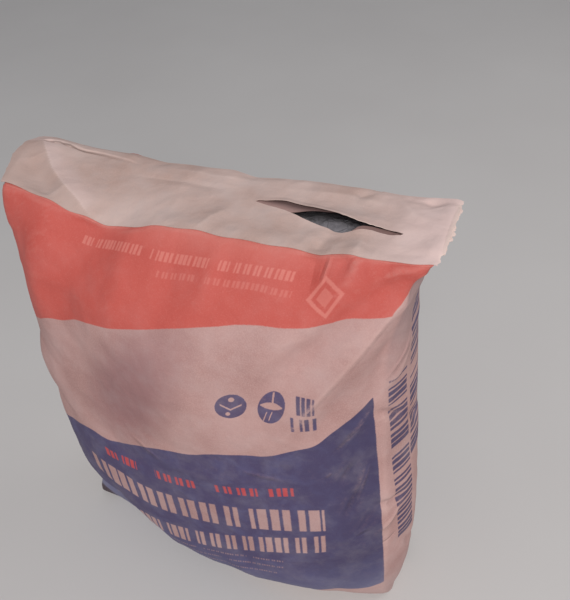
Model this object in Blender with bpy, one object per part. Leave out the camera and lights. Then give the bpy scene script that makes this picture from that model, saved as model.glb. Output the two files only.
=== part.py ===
# A cement bag standing on its end: a pasted paper valve sack, filled with cement,
# with a knife slit across its top end. Metres, +Z up. The front of the bag faces -Y.
# The origin is the centre of the flat cover patch that the bag stands on.

import math

import bmesh
import bpy
import numpy as np
from mathutils.bvhtree import BVHTree

# The paper tube and its two folded ends
TUBE_FLAT_WIDTH = 0.500  # the tube pressed flat, which is half of its girth
BOTTOM_END_DEPTH = 0.100  # front to back, of the block end that stands on the floor
TOP_END_DEPTH = 0.090  # the upper end is a little pinched, because less cement fills it
BODY_HEIGHT = 0.468  # from the lower end to the ear tips of the upper end
PAPER_WALL = 0.0006  # three plies of kraft paper

# The filled body between the ends
LOWER_BODY_WIDTH = 0.418
LOWER_BODY_POWER = 2.35  # 2 is an ellipse, and more is squarer
UPPER_BODY_WIDTH = 0.408
UPPER_BODY_POWER = 2.2
LOWER_BELLY_FORWARD = 0.024  # how far the belly hangs to the front, low down
UPPER_BELLY_FORWARD = 0.006
UPPER_BODY_SHIFT = -0.014  # the upper body leans to its left
TOP_LEAN_BACK = 0.024
FOOT_HEIGHT = 0.075  # over which the wall rolls out from the lower end
LEFT_FOOT_HEIGHT = 0.200  # the same at the left end, which is less full
SHOULDER_HEIGHT = 0.150  # over which the wall draws in to the upper end
SHOULDER_POWER = 2.7
CHANGE_LOW = 0.100  # the lower outline turns into the upper one between these heights
CHANGE_HIGH = 0.350

# The upper end
TOP_SAG = 0.008  # the middle of the end hangs below its ears
TOP_SAG_POWER = 4  # a higher power keeps the sag level further towards the ears
TOP_SAG_FADE = 8  # a higher power keeps the sag nearer to the end
TOP_FRONT_BOW = 0.008  # the front fold bows outwards
DENT_DEPTH = 0.012  # a slack hollow in the left part of the front fold
DENT_RADIUS = 0.050
DENT_X = -0.080
DENT_Y = -0.060
LEFT_FRONT_EAR_IN = 0.008  # the left ears are skewed: the front one is drawn in,
LEFT_BACK_EAR_OUT = 0.018  # and the back one sticks out

# Folds that run down from the ears. Each has its place round the girth from the front's
# middle, at its upper and at its lower end, their two heights, and how far it stands out.
EAR_FOLDS = (
    (0.206, 0.095, 0.455, 0.260, 0.0070),  # a ridge down across the front's right
    (0.186, 0.100, 0.455, 0.360, -0.0040),  # the hollow above it
    (0.230, 0.250, 0.462, 0.325, -0.0080),  # the two hollows of the right long end
    (0.262, 0.268, 0.462, 0.320, -0.0090),
    (0.296, 0.390, 0.455, 0.300, 0.0070),  # the ridges across the back
    (-0.296, -0.352, 0.458, 0.335, 0.0062),
    (-0.272, -0.284, 0.460, 0.310, -0.0055),  # the two hollows of the left long end
    (-0.208, -0.205, 0.460, 0.310, -0.0040),
    (-0.150, -0.146, 0.462, 0.330, 0.0045),  # an upright ridge at the front's left
)
EAR_FOLD_HALF_WIDTH = 0.030
EAR_FOLD_FADE = 0.6  # less keeps its height nearer to both ends

# The cement
HEADSPACE = 0.032  # from the ear tips down to the edge of the fill
FILL_CROWN = 0.006  # the powder stands higher in the middle
FIT_GAP = 0.0003  # between pieces that touch

# The cover patches pasted over the ends, and the valve sleeve under the top one
PATCH_THICKNESS = 0.0005
PATCH_MARGIN = 0.003  # from the patch's edge to the fold
TOP_PATCH_OVERHANG = 0.006  # past the short edges of the end
SLEEVE_LENGTH = 0.034
SLEEVE_WIDTH = 0.062
SLEEVE_PLY = 0.0005
SLEEVE_MOUTH = 0.0005  # the sleeve lies pressed flat
SLEEVE_OVERHANG = 0.003
SLEEVE_RAMP = 0.016  # over which the patch climbs onto the sleeve

# The slit: its ends, and how far its lips stand from the line between them
SLIT_LEFT = (0.040, -0.004)
SLIT_RIGHT = (0.170, -0.014)
SLIT_BACK_LIP = 0.006
SLIT_FRONT_LIP = 0.014
SLIT_WIDEST = 0.60  # as a share of its length
SLIT_LIP_POWER = 1.5  # 1 is a round lip, and more draws its tips out
SLIT_LEAST_SHARE = 0.25  # of a lip's reach, which the sack's own slit keeps
PLY_STEP = 0.030  # the sack's own slit starts further to the right than the patch's
PLY_EDGE = 0.0015  # and is narrower by this much at each lip
CUTTER_REACH = 0.012  # of the cutter above and below the end

# Facets
LENGTH_STEPS = 24
DEPTH_STEPS = 6
FOOT_STEPS = 6
BODY_STEPS = 9
SHOULDER_STEPS = 8
SLIT_STEPS = 12
SLEEVE_STEPS = 6
RAMP_STEPS = 4
OUTLINE_SAMPLES = 2001
OUTLINE_ROUNDS = 50  # of halving, to find the outline's depth
SMOOTH_ANGLE = 35

GIRTH = 2 * TUBE_FLAT_WIDTH
END_LENGTH = TUBE_FLAT_WIDTH - BOTTOM_END_DEPTH
HALF_LENGTH = END_LENGTH / 2
SACK_BASE = PATCH_THICKNESS + FIT_GAP  # the sack's lower end lies on its patch
SLEEVE_HEIGHT = 2 * SLEEVE_PLY + SLEEVE_MOUTH
FILL_HEIGHT = BODY_HEIGHT - HEADSPACE
COLUMNS = 2 * (LENGTH_STEPS + DEPTH_STEPS)

KRAFT = (0.52, 0.38, 0.29)
PRINTED_KRAFT = (0.50, 0.30, 0.25)
CEMENT_GREY = (0.30, 0.31, 0.30)


def material(name, colour, roughness):
    made = bpy.data.materials.new(name)
    made.use_nodes = True
    shader = made.node_tree.nodes["Principled BSDF"]
    shader.inputs["Base Color"].default_value = (*colour, 1.0)
    shader.inputs["Roughness"].default_value = roughness
    shader.inputs["Metallic"].default_value = 0.0
    return made


# The body's outline

def superellipse(half_width, half_depth, power):
    """Points from the front centre round by the right side, and the length up to each."""
    angle = np.linspace(-math.pi / 2, 1.5 * math.pi, OUTLINE_SAMPLES)
    across, along = np.cos(angle), np.sin(angle)
    x = half_width * np.sign(across) * np.abs(across) ** (2 / power)
    y = half_depth * np.sign(along) * np.abs(along) ** (2 / power)
    length = np.concatenate([[0], np.cumsum(np.hypot(np.diff(x), np.diff(y)))])
    return x, y, length


def body_outline(width, power):
    """The outline of that width whose length is the tube's girth."""
    low, high = 0.0, GIRTH / 2
    for _ in range(OUTLINE_ROUNDS):
        half_depth = (low + high) / 2
        if superellipse(width / 2, half_depth, power)[2][-1] > GIRTH:
            high = half_depth
        else:
            low = half_depth
    return superellipse(width / 2, half_depth, power)


def girth_stations():
    """Where each column lies round the tube, from the left front corner."""
    long_side = np.linspace(0, END_LENGTH, LENGTH_STEPS, endpoint=False)
    short_side = np.linspace(0, BOTTOM_END_DEPTH, DEPTH_STEPS, endpoint=False)
    right = END_LENGTH
    back = right + BOTTOM_END_DEPTH
    left = back + END_LENGTH
    return np.concatenate([long_side, right + short_side, back + long_side, left + short_side])


def outline_at_stations(width, power):
    x, y, length = body_outline(width, power)
    from_front_centre = np.mod(girth_stations() - HALF_LENGTH, GIRTH)
    at = from_front_centre * length[-1] / GIRTH
    return np.stack([np.interp(at, length, x), np.interp(at, length, y)], axis=1)


def bow_at(x, front_bow):
    """How far the front fold stands out at x, from none at its corners."""
    return front_bow * np.maximum(1 - (x / HALF_LENGTH) ** 2, 0)


def end_rectangle(depth, front_bow):
    """The folded end's edge at each column, with its front fold bowed outwards."""
    long_side = np.linspace(-HALF_LENGTH, HALF_LENGTH, LENGTH_STEPS, endpoint=False)
    short_side = np.linspace(-depth / 2, depth / 2, DEPTH_STEPS, endpoint=False)
    sides = [
        np.stack([long_side, -depth / 2 - bow_at(long_side, front_bow)], axis=1),
        np.stack([np.full(DEPTH_STEPS, HALF_LENGTH), short_side], axis=1),
        np.stack([-long_side, np.full(LENGTH_STEPS, depth / 2)], axis=1),
        np.stack([np.full(DEPTH_STEPS, -HALF_LENGTH), -short_side], axis=1),
    ]
    return np.concatenate(sides)


def smooth_step(value, low, high):
    share = np.clip((value - low) / (high - low), 0, 1)
    return share * share * (3 - 2 * share)


def top_drop(x, y):
    """How far the upper end hangs below its ear tips."""
    sag = TOP_SAG * (1 - np.minimum(np.abs(x) / HALF_LENGTH, 1) ** TOP_SAG_POWER)
    away = np.hypot(x - DENT_X, y - DENT_Y) / DENT_RADIUS
    return sag + DENT_DEPTH * np.exp(-(away**2))


def skew(x, y):
    """How far the left ears' skew moves a place on the upper end along X."""
    backwards = np.clip(y / TOP_END_DEPTH + 0.5, 0, 1)
    reach = LEFT_FRONT_EAR_IN * (1 - backwards) - LEFT_BACK_EAR_OUT * backwards
    return reach * smooth_step(-x, 0, HALF_LENGTH)


LOWER_OUTLINE = outline_at_stations(LOWER_BODY_WIDTH, LOWER_BODY_POWER)
UPPER_OUTLINE = outline_at_stations(UPPER_BODY_WIDTH, UPPER_BODY_POWER)
BOTTOM_EDGE = end_rectangle(BOTTOM_END_DEPTH, 0)
TOP_EDGE = end_rectangle(TOP_END_DEPTH, TOP_FRONT_BOW)
TOP_EDGE[:, 0] += skew(TOP_EDGE[:, 0], TOP_EDGE[:, 1])
FOOT_HEIGHTS = FOOT_HEIGHT + (LEFT_FOOT_HEIGHT - FOOT_HEIGHT) * smooth_step(
    -BOTTOM_EDGE[:, 0], 0, HALF_LENGTH
)


def fold_reach(height):
    """How far the folds from the ears push each column outwards, at that height."""
    reach = np.zeros(COLUMNS)
    from_front_centre = girth_stations() - HALF_LENGTH
    for upper_place, lower_place, upper_height, lower_height, out in EAR_FOLDS:
        down = np.clip((upper_height - height) / (upper_height - lower_height), 0, 1)
        place = upper_place + (lower_place - upper_place) * down
        away = np.abs(np.mod(from_front_centre - place + GIRTH / 2, GIRTH) - GIRTH / 2)
        fade = np.sin(np.pi * down) ** EAR_FOLD_FADE
        reach += out * fade * np.maximum(1 - away / EAR_FOLD_HALF_WIDTH, 0)
    return reach


def outwards(plan):
    """The direction out of a closed ring at each of its points."""
    along = np.roll(plan, -1, axis=0) - np.roll(plan, 1, axis=0)
    out = np.stack([along[:, 1], -along[:, 0]], axis=1)
    return out / np.linalg.norm(out, axis=1, keepdims=True)


def row(height):
    """One ring of the sack's outer surface, at that height above its lower end."""
    share = height / BODY_HEIGHT
    change = smooth_step(height, CHANGE_LOW, CHANGE_HIGH)
    body = LOWER_OUTLINE * (1 - change) + UPPER_OUTLINE * change
    belly = LOWER_BELLY_FORWARD * (1 - change) + UPPER_BELLY_FORWARD * change
    body = body + np.array([UPPER_BODY_SHIFT * change, -belly])
    edge = BOTTOM_EDGE * (1 - share) + TOP_EDGE * share
    foot = np.minimum(height / FOOT_HEIGHTS, 1)
    shoulder = min((BODY_HEIGHT - height) / SHOULDER_HEIGHT, 1)
    fullness = np.sqrt(1 - (1 - foot) ** 2) * (1 - (1 - shoulder) ** SHOULDER_POWER)
    fullness = fullness[:, None]
    plan = edge * (1 - fullness) + body * fullness
    plan += outwards(plan) * fold_reach(height)[:, None]
    plan[:, 1] += TOP_LEAN_BACK * share
    drop = top_drop(TOP_EDGE[:, 0], TOP_EDGE[:, 1]) * share**TOP_SAG_FADE
    return np.column_stack([plan, SACK_BASE + height - drop])


def row_heights():
    foot = FOOT_HEIGHT * (1 - np.cos(np.linspace(0, math.pi / 2, FOOT_STEPS + 1)))
    shoulder_start = BODY_HEIGHT - SHOULDER_HEIGHT
    body = np.linspace(FOOT_HEIGHT, shoulder_start, BODY_STEPS + 1)
    rise = np.sin(np.linspace(0, math.pi / 2, SHOULDER_STEPS + 1))
    shoulder = shoulder_start + SHOULDER_HEIGHT * rise
    nearest = int(np.argmin(np.abs(shoulder - FILL_HEIGHT)))
    shoulder[nearest] = FILL_HEIGHT
    return np.concatenate([foot, body[1:], shoulder[1:]])


# Surfaces from rings and grids

def ring_column(a, b):
    """The ring's column at a place on the rim of an end's grid."""
    if b == 0:
        return a
    if a == LENGTH_STEPS:
        return LENGTH_STEPS + b
    if b == DEPTH_STEPS:
        return 2 * LENGTH_STEPS + DEPTH_STEPS - a
    return (2 * LENGTH_STEPS + 2 * DEPTH_STEPS - b) % COLUMNS


def grid_across(ring):
    """A grid of points that fills a ring, from its four sides."""
    def rim(a, b):
        return ring[ring_column(a, b)]

    grid = np.zeros((LENGTH_STEPS + 1, DEPTH_STEPS + 1, 3))
    for a in range(LENGTH_STEPS + 1):
        for b in range(DEPTH_STEPS + 1):
            s, t = a / LENGTH_STEPS, b / DEPTH_STEPS
            lengthways = rim(a, 0) * (1 - t) + rim(a, DEPTH_STEPS) * t
            crossways = rim(0, b) * (1 - s) + rim(LENGTH_STEPS, b) * s
            corners = (
                rim(0, 0) * (1 - s) * (1 - t)
                + rim(LENGTH_STEPS, 0) * s * (1 - t)
                + rim(0, DEPTH_STEPS) * (1 - s) * t
                + rim(LENGTH_STEPS, DEPTH_STEPS) * s * t
            )
            grid[a, b] = lengthways + crossways - corners
    return grid


def two_triangles(mesh, first, second, third, fourth):
    """A four-sided patch, always split the same way, so that nested skins stay parallel."""
    mesh.faces.new([first, second, third])
    mesh.faces.new([first, third, fourth])


def closed_surface(rings, top_grid):
    """A bmesh of a bag: stacked rings, closed by a flat grid below and a given grid above."""
    mesh = bmesh.new()
    rows = [[mesh.verts.new(point) for point in ring] for ring in rings]
    for low, high in zip(rows, rows[1:]):
        for i in range(COLUMNS):
            j = (i + 1) % COLUMNS
            two_triangles(mesh, low[i], low[j], high[j], high[i])
    for ring, grid, upwards in ((rows[0], grid_across(rings[0]), False), (rows[-1], top_grid, True)):
        inner = {
            (a, b): mesh.verts.new(grid[a, b])
            for a in range(1, LENGTH_STEPS)
            for b in range(1, DEPTH_STEPS)
        }

        def corner(a, b):
            return inner.get((a, b)) or ring[ring_column(a, b)]

        for a in range(LENGTH_STEPS):
            for b in range(DEPTH_STEPS):
                face = [corner(a, b), corner(a + 1, b), corner(a + 1, b + 1), corner(a, b + 1)]
                two_triangles(mesh, *(face if upwards else face[::-1]))
    mesh.normal_update()
    return mesh


def move_inwards(mesh, distance):
    """Every face of the mesh moves inwards by that distance."""
    moved = [v.co - v.normal * v.calc_shell_factor() * distance for v in mesh.verts]
    for vertex, place in zip(mesh.verts, moved):
        vertex.co = place


def named_object(name, mesh, paint):
    data = bpy.data.meshes.new(name)
    mesh.to_mesh(data)
    mesh.free()
    made = bpy.data.objects.new(name, data)
    bpy.context.scene.collection.objects.link(made)
    data.materials.append(paint)
    data.shade_smooth()
    data.set_sharp_from_angle(angle=math.radians(SMOOTH_ANGLE))
    return made


def cut(piece, cutter):
    """Cuts the cutter's shape out of the piece; the cutter stays as a hidden guide."""
    cutter.hide_render = True
    cutter.display_type = "WIRE"
    boolean = piece.modifiers.new("slit", "BOOLEAN")
    boolean.operation = "DIFFERENCE"
    boolean.solver = "EXACT"
    boolean.object = cutter


# The upper end as a surface that the patch and the sleeve lie on

def top_end_grid(ring):
    grid = grid_across(ring)
    for a in range(1, LENGTH_STEPS):
        for b in range(1, DEPTH_STEPS):
            x, y = grid[a, b, 0], grid[a, b, 1]
            grid[a, b, 2] = SACK_BASE + BODY_HEIGHT - top_drop(x, y - TOP_LEAN_BACK)
    return grid


def top_end_facets():
    places = top_end_grid(row(BODY_HEIGHT)).reshape(-1, 3)
    step = DEPTH_STEPS + 1
    faces = []
    for a in range(LENGTH_STEPS):
        for b in range(DEPTH_STEPS):
            i = a * step + b
            faces += [(i, i + step, i + step + 1), (i, i + step + 1, i + 1)]
    return BVHTree.FromPolygons([tuple(place) for place in places], faces)


def fold_places(x):
    """Where the upper end's front and back folds run at x."""
    front = TOP_LEAN_BACK - TOP_END_DEPTH / 2 - bow_at(x, TOP_FRONT_BOW)
    return front, TOP_LEAN_BACK + TOP_END_DEPTH / 2


TOP_FACETS = top_end_facets()


def height_on_top_end(x, y):
    """The height of the sack's own facet there, or at the nearest place on the end."""
    hit = TOP_FACETS.ray_cast((x, y, 2 * BODY_HEIGHT), (0, 0, -1))[0]
    return hit.z if hit else TOP_FACETS.find_nearest((x, y, SACK_BASE + BODY_HEIGHT))[0].z


def plate(places, underside, thickness):
    """A thin plate over rows of places, whose underside is a function of x and y."""
    mesh = bmesh.new()
    low, high = [
        [[mesh.verts.new((x, y, underside(x, y) + lift)) for x, y in line] for line in places]
        for lift in (0, thickness)
    ]
    last_x, last_y = len(low) - 1, len(low[0]) - 1
    for a in range(last_x):
        for b in range(last_y):
            two_triangles(mesh, high[a][b], high[a + 1][b], high[a + 1][b + 1], high[a][b + 1])
            two_triangles(mesh, low[a + 1][b + 1], low[a + 1][b], low[a][b], low[a][b + 1])
    for a in range(last_x):
        mesh.faces.new([low[a][0], low[a + 1][0], high[a + 1][0], high[a][0]])
        mesh.faces.new([low[a + 1][last_y], low[a][last_y], high[a][last_y], high[a + 1][last_y]])
    for b in range(last_y):
        mesh.faces.new([low[0][b + 1], low[0][b], high[0][b], high[0][b + 1]])
        mesh.faces.new([low[last_x][b], low[last_x][b + 1], high[last_x][b + 1], high[last_x][b]])
    mesh.normal_update()
    return mesh


def slit_cutter(name, start, lip_change):
    """A lens-shaped prism through the upper end, from a place along the slit to its right end."""
    left, right = np.array(SLIT_LEFT), np.array(SLIT_RIGHT)
    length = np.linalg.norm(right - left)
    direction = (right - left) / length
    backwards = np.array([-direction[1], direction[0]])
    widest = start + (1 - start) * SLIT_WIDEST

    def lip(share, reach):
        side = (share - start) / (widest - start) if share < widest else (1 - share) / (1 - widest)
        opening = max(reach - lip_change, reach * SLIT_LEAST_SHARE)
        return opening * math.sin(side * math.pi / 2) ** SLIT_LIP_POWER

    shares = [start + (1 - start) * i / SLIT_STEPS for i in range(SLIT_STEPS + 1)]
    front = [left + direction * length * s - backwards * lip(s, SLIT_FRONT_LIP) for s in shares]
    back = [left + direction * length * s + backwards * lip(s, SLIT_BACK_LIP) for s in shares[1:-1]]
    outline = front + back[::-1]
    mesh = bmesh.new()
    heights = [height_on_top_end(x, y + TOP_LEAN_BACK) for x, y in outline]
    floor = min(heights) - CUTTER_REACH
    ceiling = max(heights) + CUTTER_REACH
    low = [mesh.verts.new((x, y + TOP_LEAN_BACK, floor)) for x, y in outline]
    high = [mesh.verts.new((x, y + TOP_LEAN_BACK, ceiling)) for x, y in outline]
    mesh.faces.new(low[::-1])
    mesh.faces.new(high)
    for i in range(len(outline)):
        j = (i + 1) % len(outline)
        mesh.faces.new([low[i], low[j], high[j], high[i]])
    data = bpy.data.meshes.new(name)
    mesh.to_mesh(data)
    mesh.free()
    made = bpy.data.objects.new(name, data)
    bpy.context.scene.collection.objects.link(made)
    return made


# The pieces

def build_paper_sack(paint):
    """The tube and both folded ends: an outer and an inner skin, joined at the slit."""
    rings = [row(height) for height in row_heights()]
    mesh = closed_surface(rings, top_end_grid(rings[-1]))
    inner = mesh.copy()
    move_inwards(inner, PAPER_WALL)
    bmesh.ops.reverse_faces(inner, faces=inner.faces)
    skin = bpy.data.meshes.new("inner_skin")
    inner.to_mesh(skin)
    inner.free()
    mesh.from_mesh(skin)
    bpy.data.meshes.remove(skin)
    sack = named_object("paper_sack", mesh, paint)
    ply_start = PLY_STEP / (SLIT_RIGHT[0] - SLIT_LEFT[0])
    cut(sack, slit_cutter("sack_slit_cutter", ply_start, PLY_EDGE))
    return sack


def build_cement_fill(paint):
    """The powder, a fit gap clear of the paper, with a gently crowned top."""
    heights = row_heights()
    rings = [row(height) for height in heights]
    mesh = closed_surface(rings, top_end_grid(rings[-1]))
    move_inwards(mesh, PAPER_WALL + FIT_GAP)
    mesh.verts.ensure_lookup_table()
    filled_rows = int(np.argmin(np.abs(heights - FILL_HEIGHT))) + 1
    places = np.array([mesh.verts[i].co for i in range(filled_rows * COLUMNS)])
    mesh.free()
    rings = list(places.reshape(filled_rows, COLUMNS, 3))
    top = grid_across(rings[-1])
    for a in range(1, LENGTH_STEPS):
        for b in range(1, DEPTH_STEPS):
            rise = math.sin(math.pi * a / LENGTH_STEPS) * math.sin(math.pi * b / DEPTH_STEPS)
            top[a, b, 2] += FILL_CROWN * rise
    return named_object("cement_fill", closed_surface(rings, top), paint)


def build_top_cover_patch(paint):
    """The strip pasted over the upper end, which climbs over the valve sleeve at its right."""
    reach = HALF_LENGTH + TOP_PATCH_OVERHANG
    climb_end = HALF_LENGTH + SLEEVE_OVERHANG - SLEEVE_LENGTH - SLEEVE_RAMP / RAMP_STEPS
    climb_start = climb_end - SLEEVE_RAMP
    columns = np.linspace(-HALF_LENGTH, HALF_LENGTH, LENGTH_STEPS + 1)
    ramp = np.linspace(climb_start, climb_end, RAMP_STEPS + 1)
    x_places = np.unique(np.concatenate([[-reach], columns, ramp, [reach]]))

    def line_across(x):
        front, back = fold_places(x)
        margin = PATCH_MARGIN / (back - front)
        shares = np.linspace(0, 1, DEPTH_STEPS + 1)
        shares[0], shares[-1] = margin, 1 - margin
        ys = front + (back - front) * shares
        return [(x + skew(x, y - TOP_LEAN_BACK), y) for y in ys]

    def underside(x, y):
        climb = (SLEEVE_HEIGHT + FIT_GAP) * smooth_step(x, climb_start, climb_end)
        return height_on_top_end(x, y) + FIT_GAP + climb

    places = [line_across(x) for x in x_places]
    strip = plate(places, underside, PATCH_THICKNESS)
    patch = named_object("top_cover_patch", strip, paint)
    cut(patch, slit_cutter("patch_slit_cutter", 0, 0))
    return patch


def build_valve_sleeve(paint):
    """A flattened paper tube between the upper end and its patch, with its mouth to the right."""
    mesh = bmesh.new()
    start = HALF_LENGTH + SLEEVE_OVERHANG - SLEEVE_LENGTH
    x_places = np.linspace(start, start + SLEEVE_LENGTH, SLEEVE_STEPS + 1)
    y_places = TOP_LEAN_BACK + np.linspace(-SLEEVE_WIDTH / 2, SLEEVE_WIDTH / 2, DEPTH_STEPS + 1)

    def loop(x, inset):
        """The sleeve's outline across, drawn in by an inset."""
        ys = np.clip(y_places, y_places[0] + inset, y_places[-1] - inset)
        low = [(x, y, height_on_top_end(x, y) + FIT_GAP + inset) for y in ys]
        lift = SLEEVE_HEIGHT - 2 * inset
        high = [(a, b, c + lift) for a, b, c in reversed(low)]
        return [mesh.verts.new(place) for place in low + high]

    outer = [loop(x, 0) for x in x_places]
    inner = [loop(x, SLEEVE_PLY) for x in x_places]
    count = len(outer[0])
    for k in range(SLEEVE_STEPS):
        for i in range(count):
            j = (i + 1) % count
            mesh.faces.new([outer[k][i], outer[k][j], outer[k + 1][j], outer[k + 1][i]])
            mesh.faces.new([inner[k][j], inner[k][i], inner[k + 1][i], inner[k + 1][j]])
    for i in range(count):
        j = (i + 1) % count
        mesh.faces.new([outer[0][j], outer[0][i], inner[0][i], inner[0][j]])
        mesh.faces.new([outer[-1][i], outer[-1][j], inner[-1][j], inner[-1][i]])
    mesh.normal_update()
    return named_object("valve_sleeve", mesh, paint)


def build_bottom_cover_patch(paint):
    """The flat strip pasted under the lower end, which the bag stands on."""
    half_depth = BOTTOM_END_DEPTH / 2 - PATCH_MARGIN
    half_length = HALF_LENGTH - PATCH_MARGIN
    mesh = bmesh.new()
    bmesh.ops.create_cube(mesh, size=1)
    bmesh.ops.scale(mesh, vec=(2 * half_length, 2 * half_depth, PATCH_THICKNESS), verts=mesh.verts)
    bmesh.ops.translate(mesh, vec=(0, 0, PATCH_THICKNESS / 2), verts=mesh.verts)
    return named_object("bottom_cover_patch", mesh, paint)


def clear_scene():
    for old in list(bpy.data.objects):
        bpy.data.objects.remove(old, do_unlink=True)


def main():
    clear_scene()
    printed = material("printed_kraft_paper", PRINTED_KRAFT, 0.7)
    plain = material("kraft_paper", KRAFT, 0.75)
    powder = material("cement_powder", CEMENT_GREY, 0.95)
    build_paper_sack(printed)
    build_cement_fill(powder)
    build_top_cover_patch(plain)
    build_valve_sleeve(plain)
    build_bottom_cover_patch(plain)


main()
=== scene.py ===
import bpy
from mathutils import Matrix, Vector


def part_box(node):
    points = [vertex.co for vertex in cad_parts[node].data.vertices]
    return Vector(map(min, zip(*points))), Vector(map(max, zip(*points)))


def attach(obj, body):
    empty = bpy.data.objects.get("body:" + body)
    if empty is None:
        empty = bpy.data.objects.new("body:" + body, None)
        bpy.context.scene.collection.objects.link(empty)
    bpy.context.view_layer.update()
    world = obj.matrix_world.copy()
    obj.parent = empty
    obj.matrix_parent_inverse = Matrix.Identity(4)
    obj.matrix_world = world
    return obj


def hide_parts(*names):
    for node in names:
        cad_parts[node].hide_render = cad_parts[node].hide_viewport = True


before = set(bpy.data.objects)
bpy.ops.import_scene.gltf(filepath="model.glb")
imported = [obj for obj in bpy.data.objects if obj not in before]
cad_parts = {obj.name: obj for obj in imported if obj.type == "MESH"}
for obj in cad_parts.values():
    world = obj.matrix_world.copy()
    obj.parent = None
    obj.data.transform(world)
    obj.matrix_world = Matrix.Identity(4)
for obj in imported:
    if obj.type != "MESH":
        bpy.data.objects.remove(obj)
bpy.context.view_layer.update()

import math

import bpy
import numpy as np
from mathutils import Matrix, Vector, noise
from mathutils.bvhtree import BVHTree

# A filled paper sack of cement, standing on its end, its print upside down.
# Paper coordinates are metres on the unrolled paper: u runs to the right round
# the sack from the middle of its front, and v runs up from the lower fold.
# Single values are metres. Strokes, curves and rows of points are millimetres.

bag = {
    "girth": 1.0,
    "endLength": 0.400,
    "bottomDepth": 0.100,
    "topDepth": 0.090,
    "height": 0.468,
    "base": 0.0008,
    "lowBody": (0.418, 2.35),  # width, and how square the outline is
    "highBody": (0.408, 2.2),
    "lowBelly": 0.024,
    "highBelly": 0.006,
    "shift": -0.014,
    "lean": 0.024,
    "foot": 0.075,
    "leftFoot": 0.200,
    "shoulder": 0.150,
    "shoulderPower": 2.7,
    "change": (0.100, 0.350),  # the low outline turns into the high one
    "sag": 0.008,
    "bow": 0.008,
    "dent": (-0.080, -0.060, 0.012, 0.050),  # x, y, depth, radius
    "earIn": 0.008,
    "earOut": 0.018,
}


def smoothStep(value, low, high):
    share = np.clip((value - low) / (high - low), 0, 1)
    return share * share * (3 - 2 * share)


def upAndDown(value, low, high, start, end):  # rises from low to high, falls from start to end
    return smoothStep(value, low, high) * (1 - smoothStep(value, start, end))


def roundOutline(width, power):  # a superellipse as long as the sack's girth
    turn = np.linspace(-math.pi / 2, 1.5 * math.pi, 2001)
    across, along = np.cos(turn), np.sin(turn)
    low, high = 0.0, bag["girth"] / 2
    for _ in range(50):
        depth = (low + high) / 2
        x = width / 2 * np.sign(across) * np.abs(across) ** (2 / power)
        y = depth * np.sign(along) * np.abs(along) ** (2 / power)
        length = np.concatenate([[0], np.cumsum(np.hypot(np.diff(x), np.diff(y)))])
        if length[-1] > bag["girth"]:
            high = depth
        else:
            low = depth
    return x, y, length


def onOutline(u, outline):
    x, y, length = outline
    at = np.mod(u, bag["girth"]) * length[-1] / bag["girth"]
    return np.column_stack([np.interp(at, length, x), np.interp(at, length, y)])


def onRim(u, depth, bow):  # the edge of a folded end, a rectangle
    half = bag["endLength"] / 2
    turns = [0, 0.2, 0.3, 0.7, 0.8, 1.0]
    around = np.mod(u, bag["girth"])
    x = np.interp(around, turns, [0, half, half, -half, -half, 0])
    y = depth / 2 * np.interp(around, turns, [-1, -1, 1, 1, -1, -1])
    front = (around <= 0.2) | (around >= 0.8)
    return np.column_stack([x, y - front * bow * (1 - (x / half) ** 2)])


def skewX(x, y):  # the left ears are out of line
    back = np.clip(y / bag["topDepth"] + 0.5, 0, 1)
    reach = bag["earIn"] * (1 - back) - bag["earOut"] * back
    return reach * smoothStep(-x, 0, bag["endLength"] / 2)


def topDrop(x, y):
    dentX, dentY, depth, radius = bag["dent"]
    sag = bag["sag"] * (1 - np.minimum(np.abs(x) / (bag["endLength"] / 2), 1) ** 4)
    return sag + depth * np.exp(-((np.hypot(x - dentX, y - dentY) / radius) ** 2))


lowOutline = roundOutline(*bag["lowBody"])
highOutline = roundOutline(*bag["highBody"])


def onWall(u, height):  # the smooth outer surface of the filled sack
    u, height = np.broadcast_arrays(np.asarray(u, float), np.asarray(height, float))
    share = height / bag["height"]
    change = smoothStep(height, *bag["change"])
    body = onOutline(u, lowOutline) * (1 - change)[:, None] + onOutline(u, highOutline) * change[:, None]
    body[:, 0] += bag["shift"] * change
    body[:, 1] -= bag["lowBelly"] * (1 - change) + bag["highBelly"] * change
    bottom = onRim(u, bag["bottomDepth"], 0)
    top = onRim(u, bag["topDepth"], bag["bow"])
    top[:, 0] += skewX(top[:, 0], top[:, 1])
    edge = bottom * (1 - share)[:, None] + top * share[:, None]
    left = smoothStep(-bottom[:, 0], 0, bag["endLength"] / 2)
    foot = np.minimum(height / (bag["foot"] + (bag["leftFoot"] - bag["foot"]) * left), 1)
    shoulder = np.minimum((bag["height"] - height) / bag["shoulder"], 1)
    full = np.sqrt(1 - (1 - foot) ** 2) * (1 - (1 - shoulder) ** bag["shoulderPower"])
    plan = edge * (1 - full)[:, None] + body * full[:, None]
    plan[:, 1] += bag["lean"] * share
    drop = topDrop(top[:, 0], top[:, 1]) * share**8
    return np.column_stack([plan, bag["base"] + height - drop])


# Mesh helpers

def readRows(items, kind, size, number=float):
    # What a mesh holds for each vertex, edge or corner, a row for each
    made = np.empty(len(items) * size, number)
    items.foreach_get(kind, made)
    return made.reshape(-1, size)


def places(piece):
    return readRows(piece.data.vertices, "co", 3)


def normals(piece):
    return readRows(piece.data.vertices, "normal", 3)


def edgeEnds(piece):
    return readRows(piece.data.edges, "vertices", 2, np.int32)


def cornerVertices(piece):
    return readRows(piece.data.loops, "vertex_index", 1, np.int32)[:, 0]


def patternOf(piece):  # where each vertex lies on a plain square sack of the same paper
    return readRows(piece.data.attributes["pattern"].data, "vector", 3)


def getValue(piece, name):
    return readRows(piece.data.attributes[name].data, "value", 1, np.float32)[:, 0]


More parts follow.
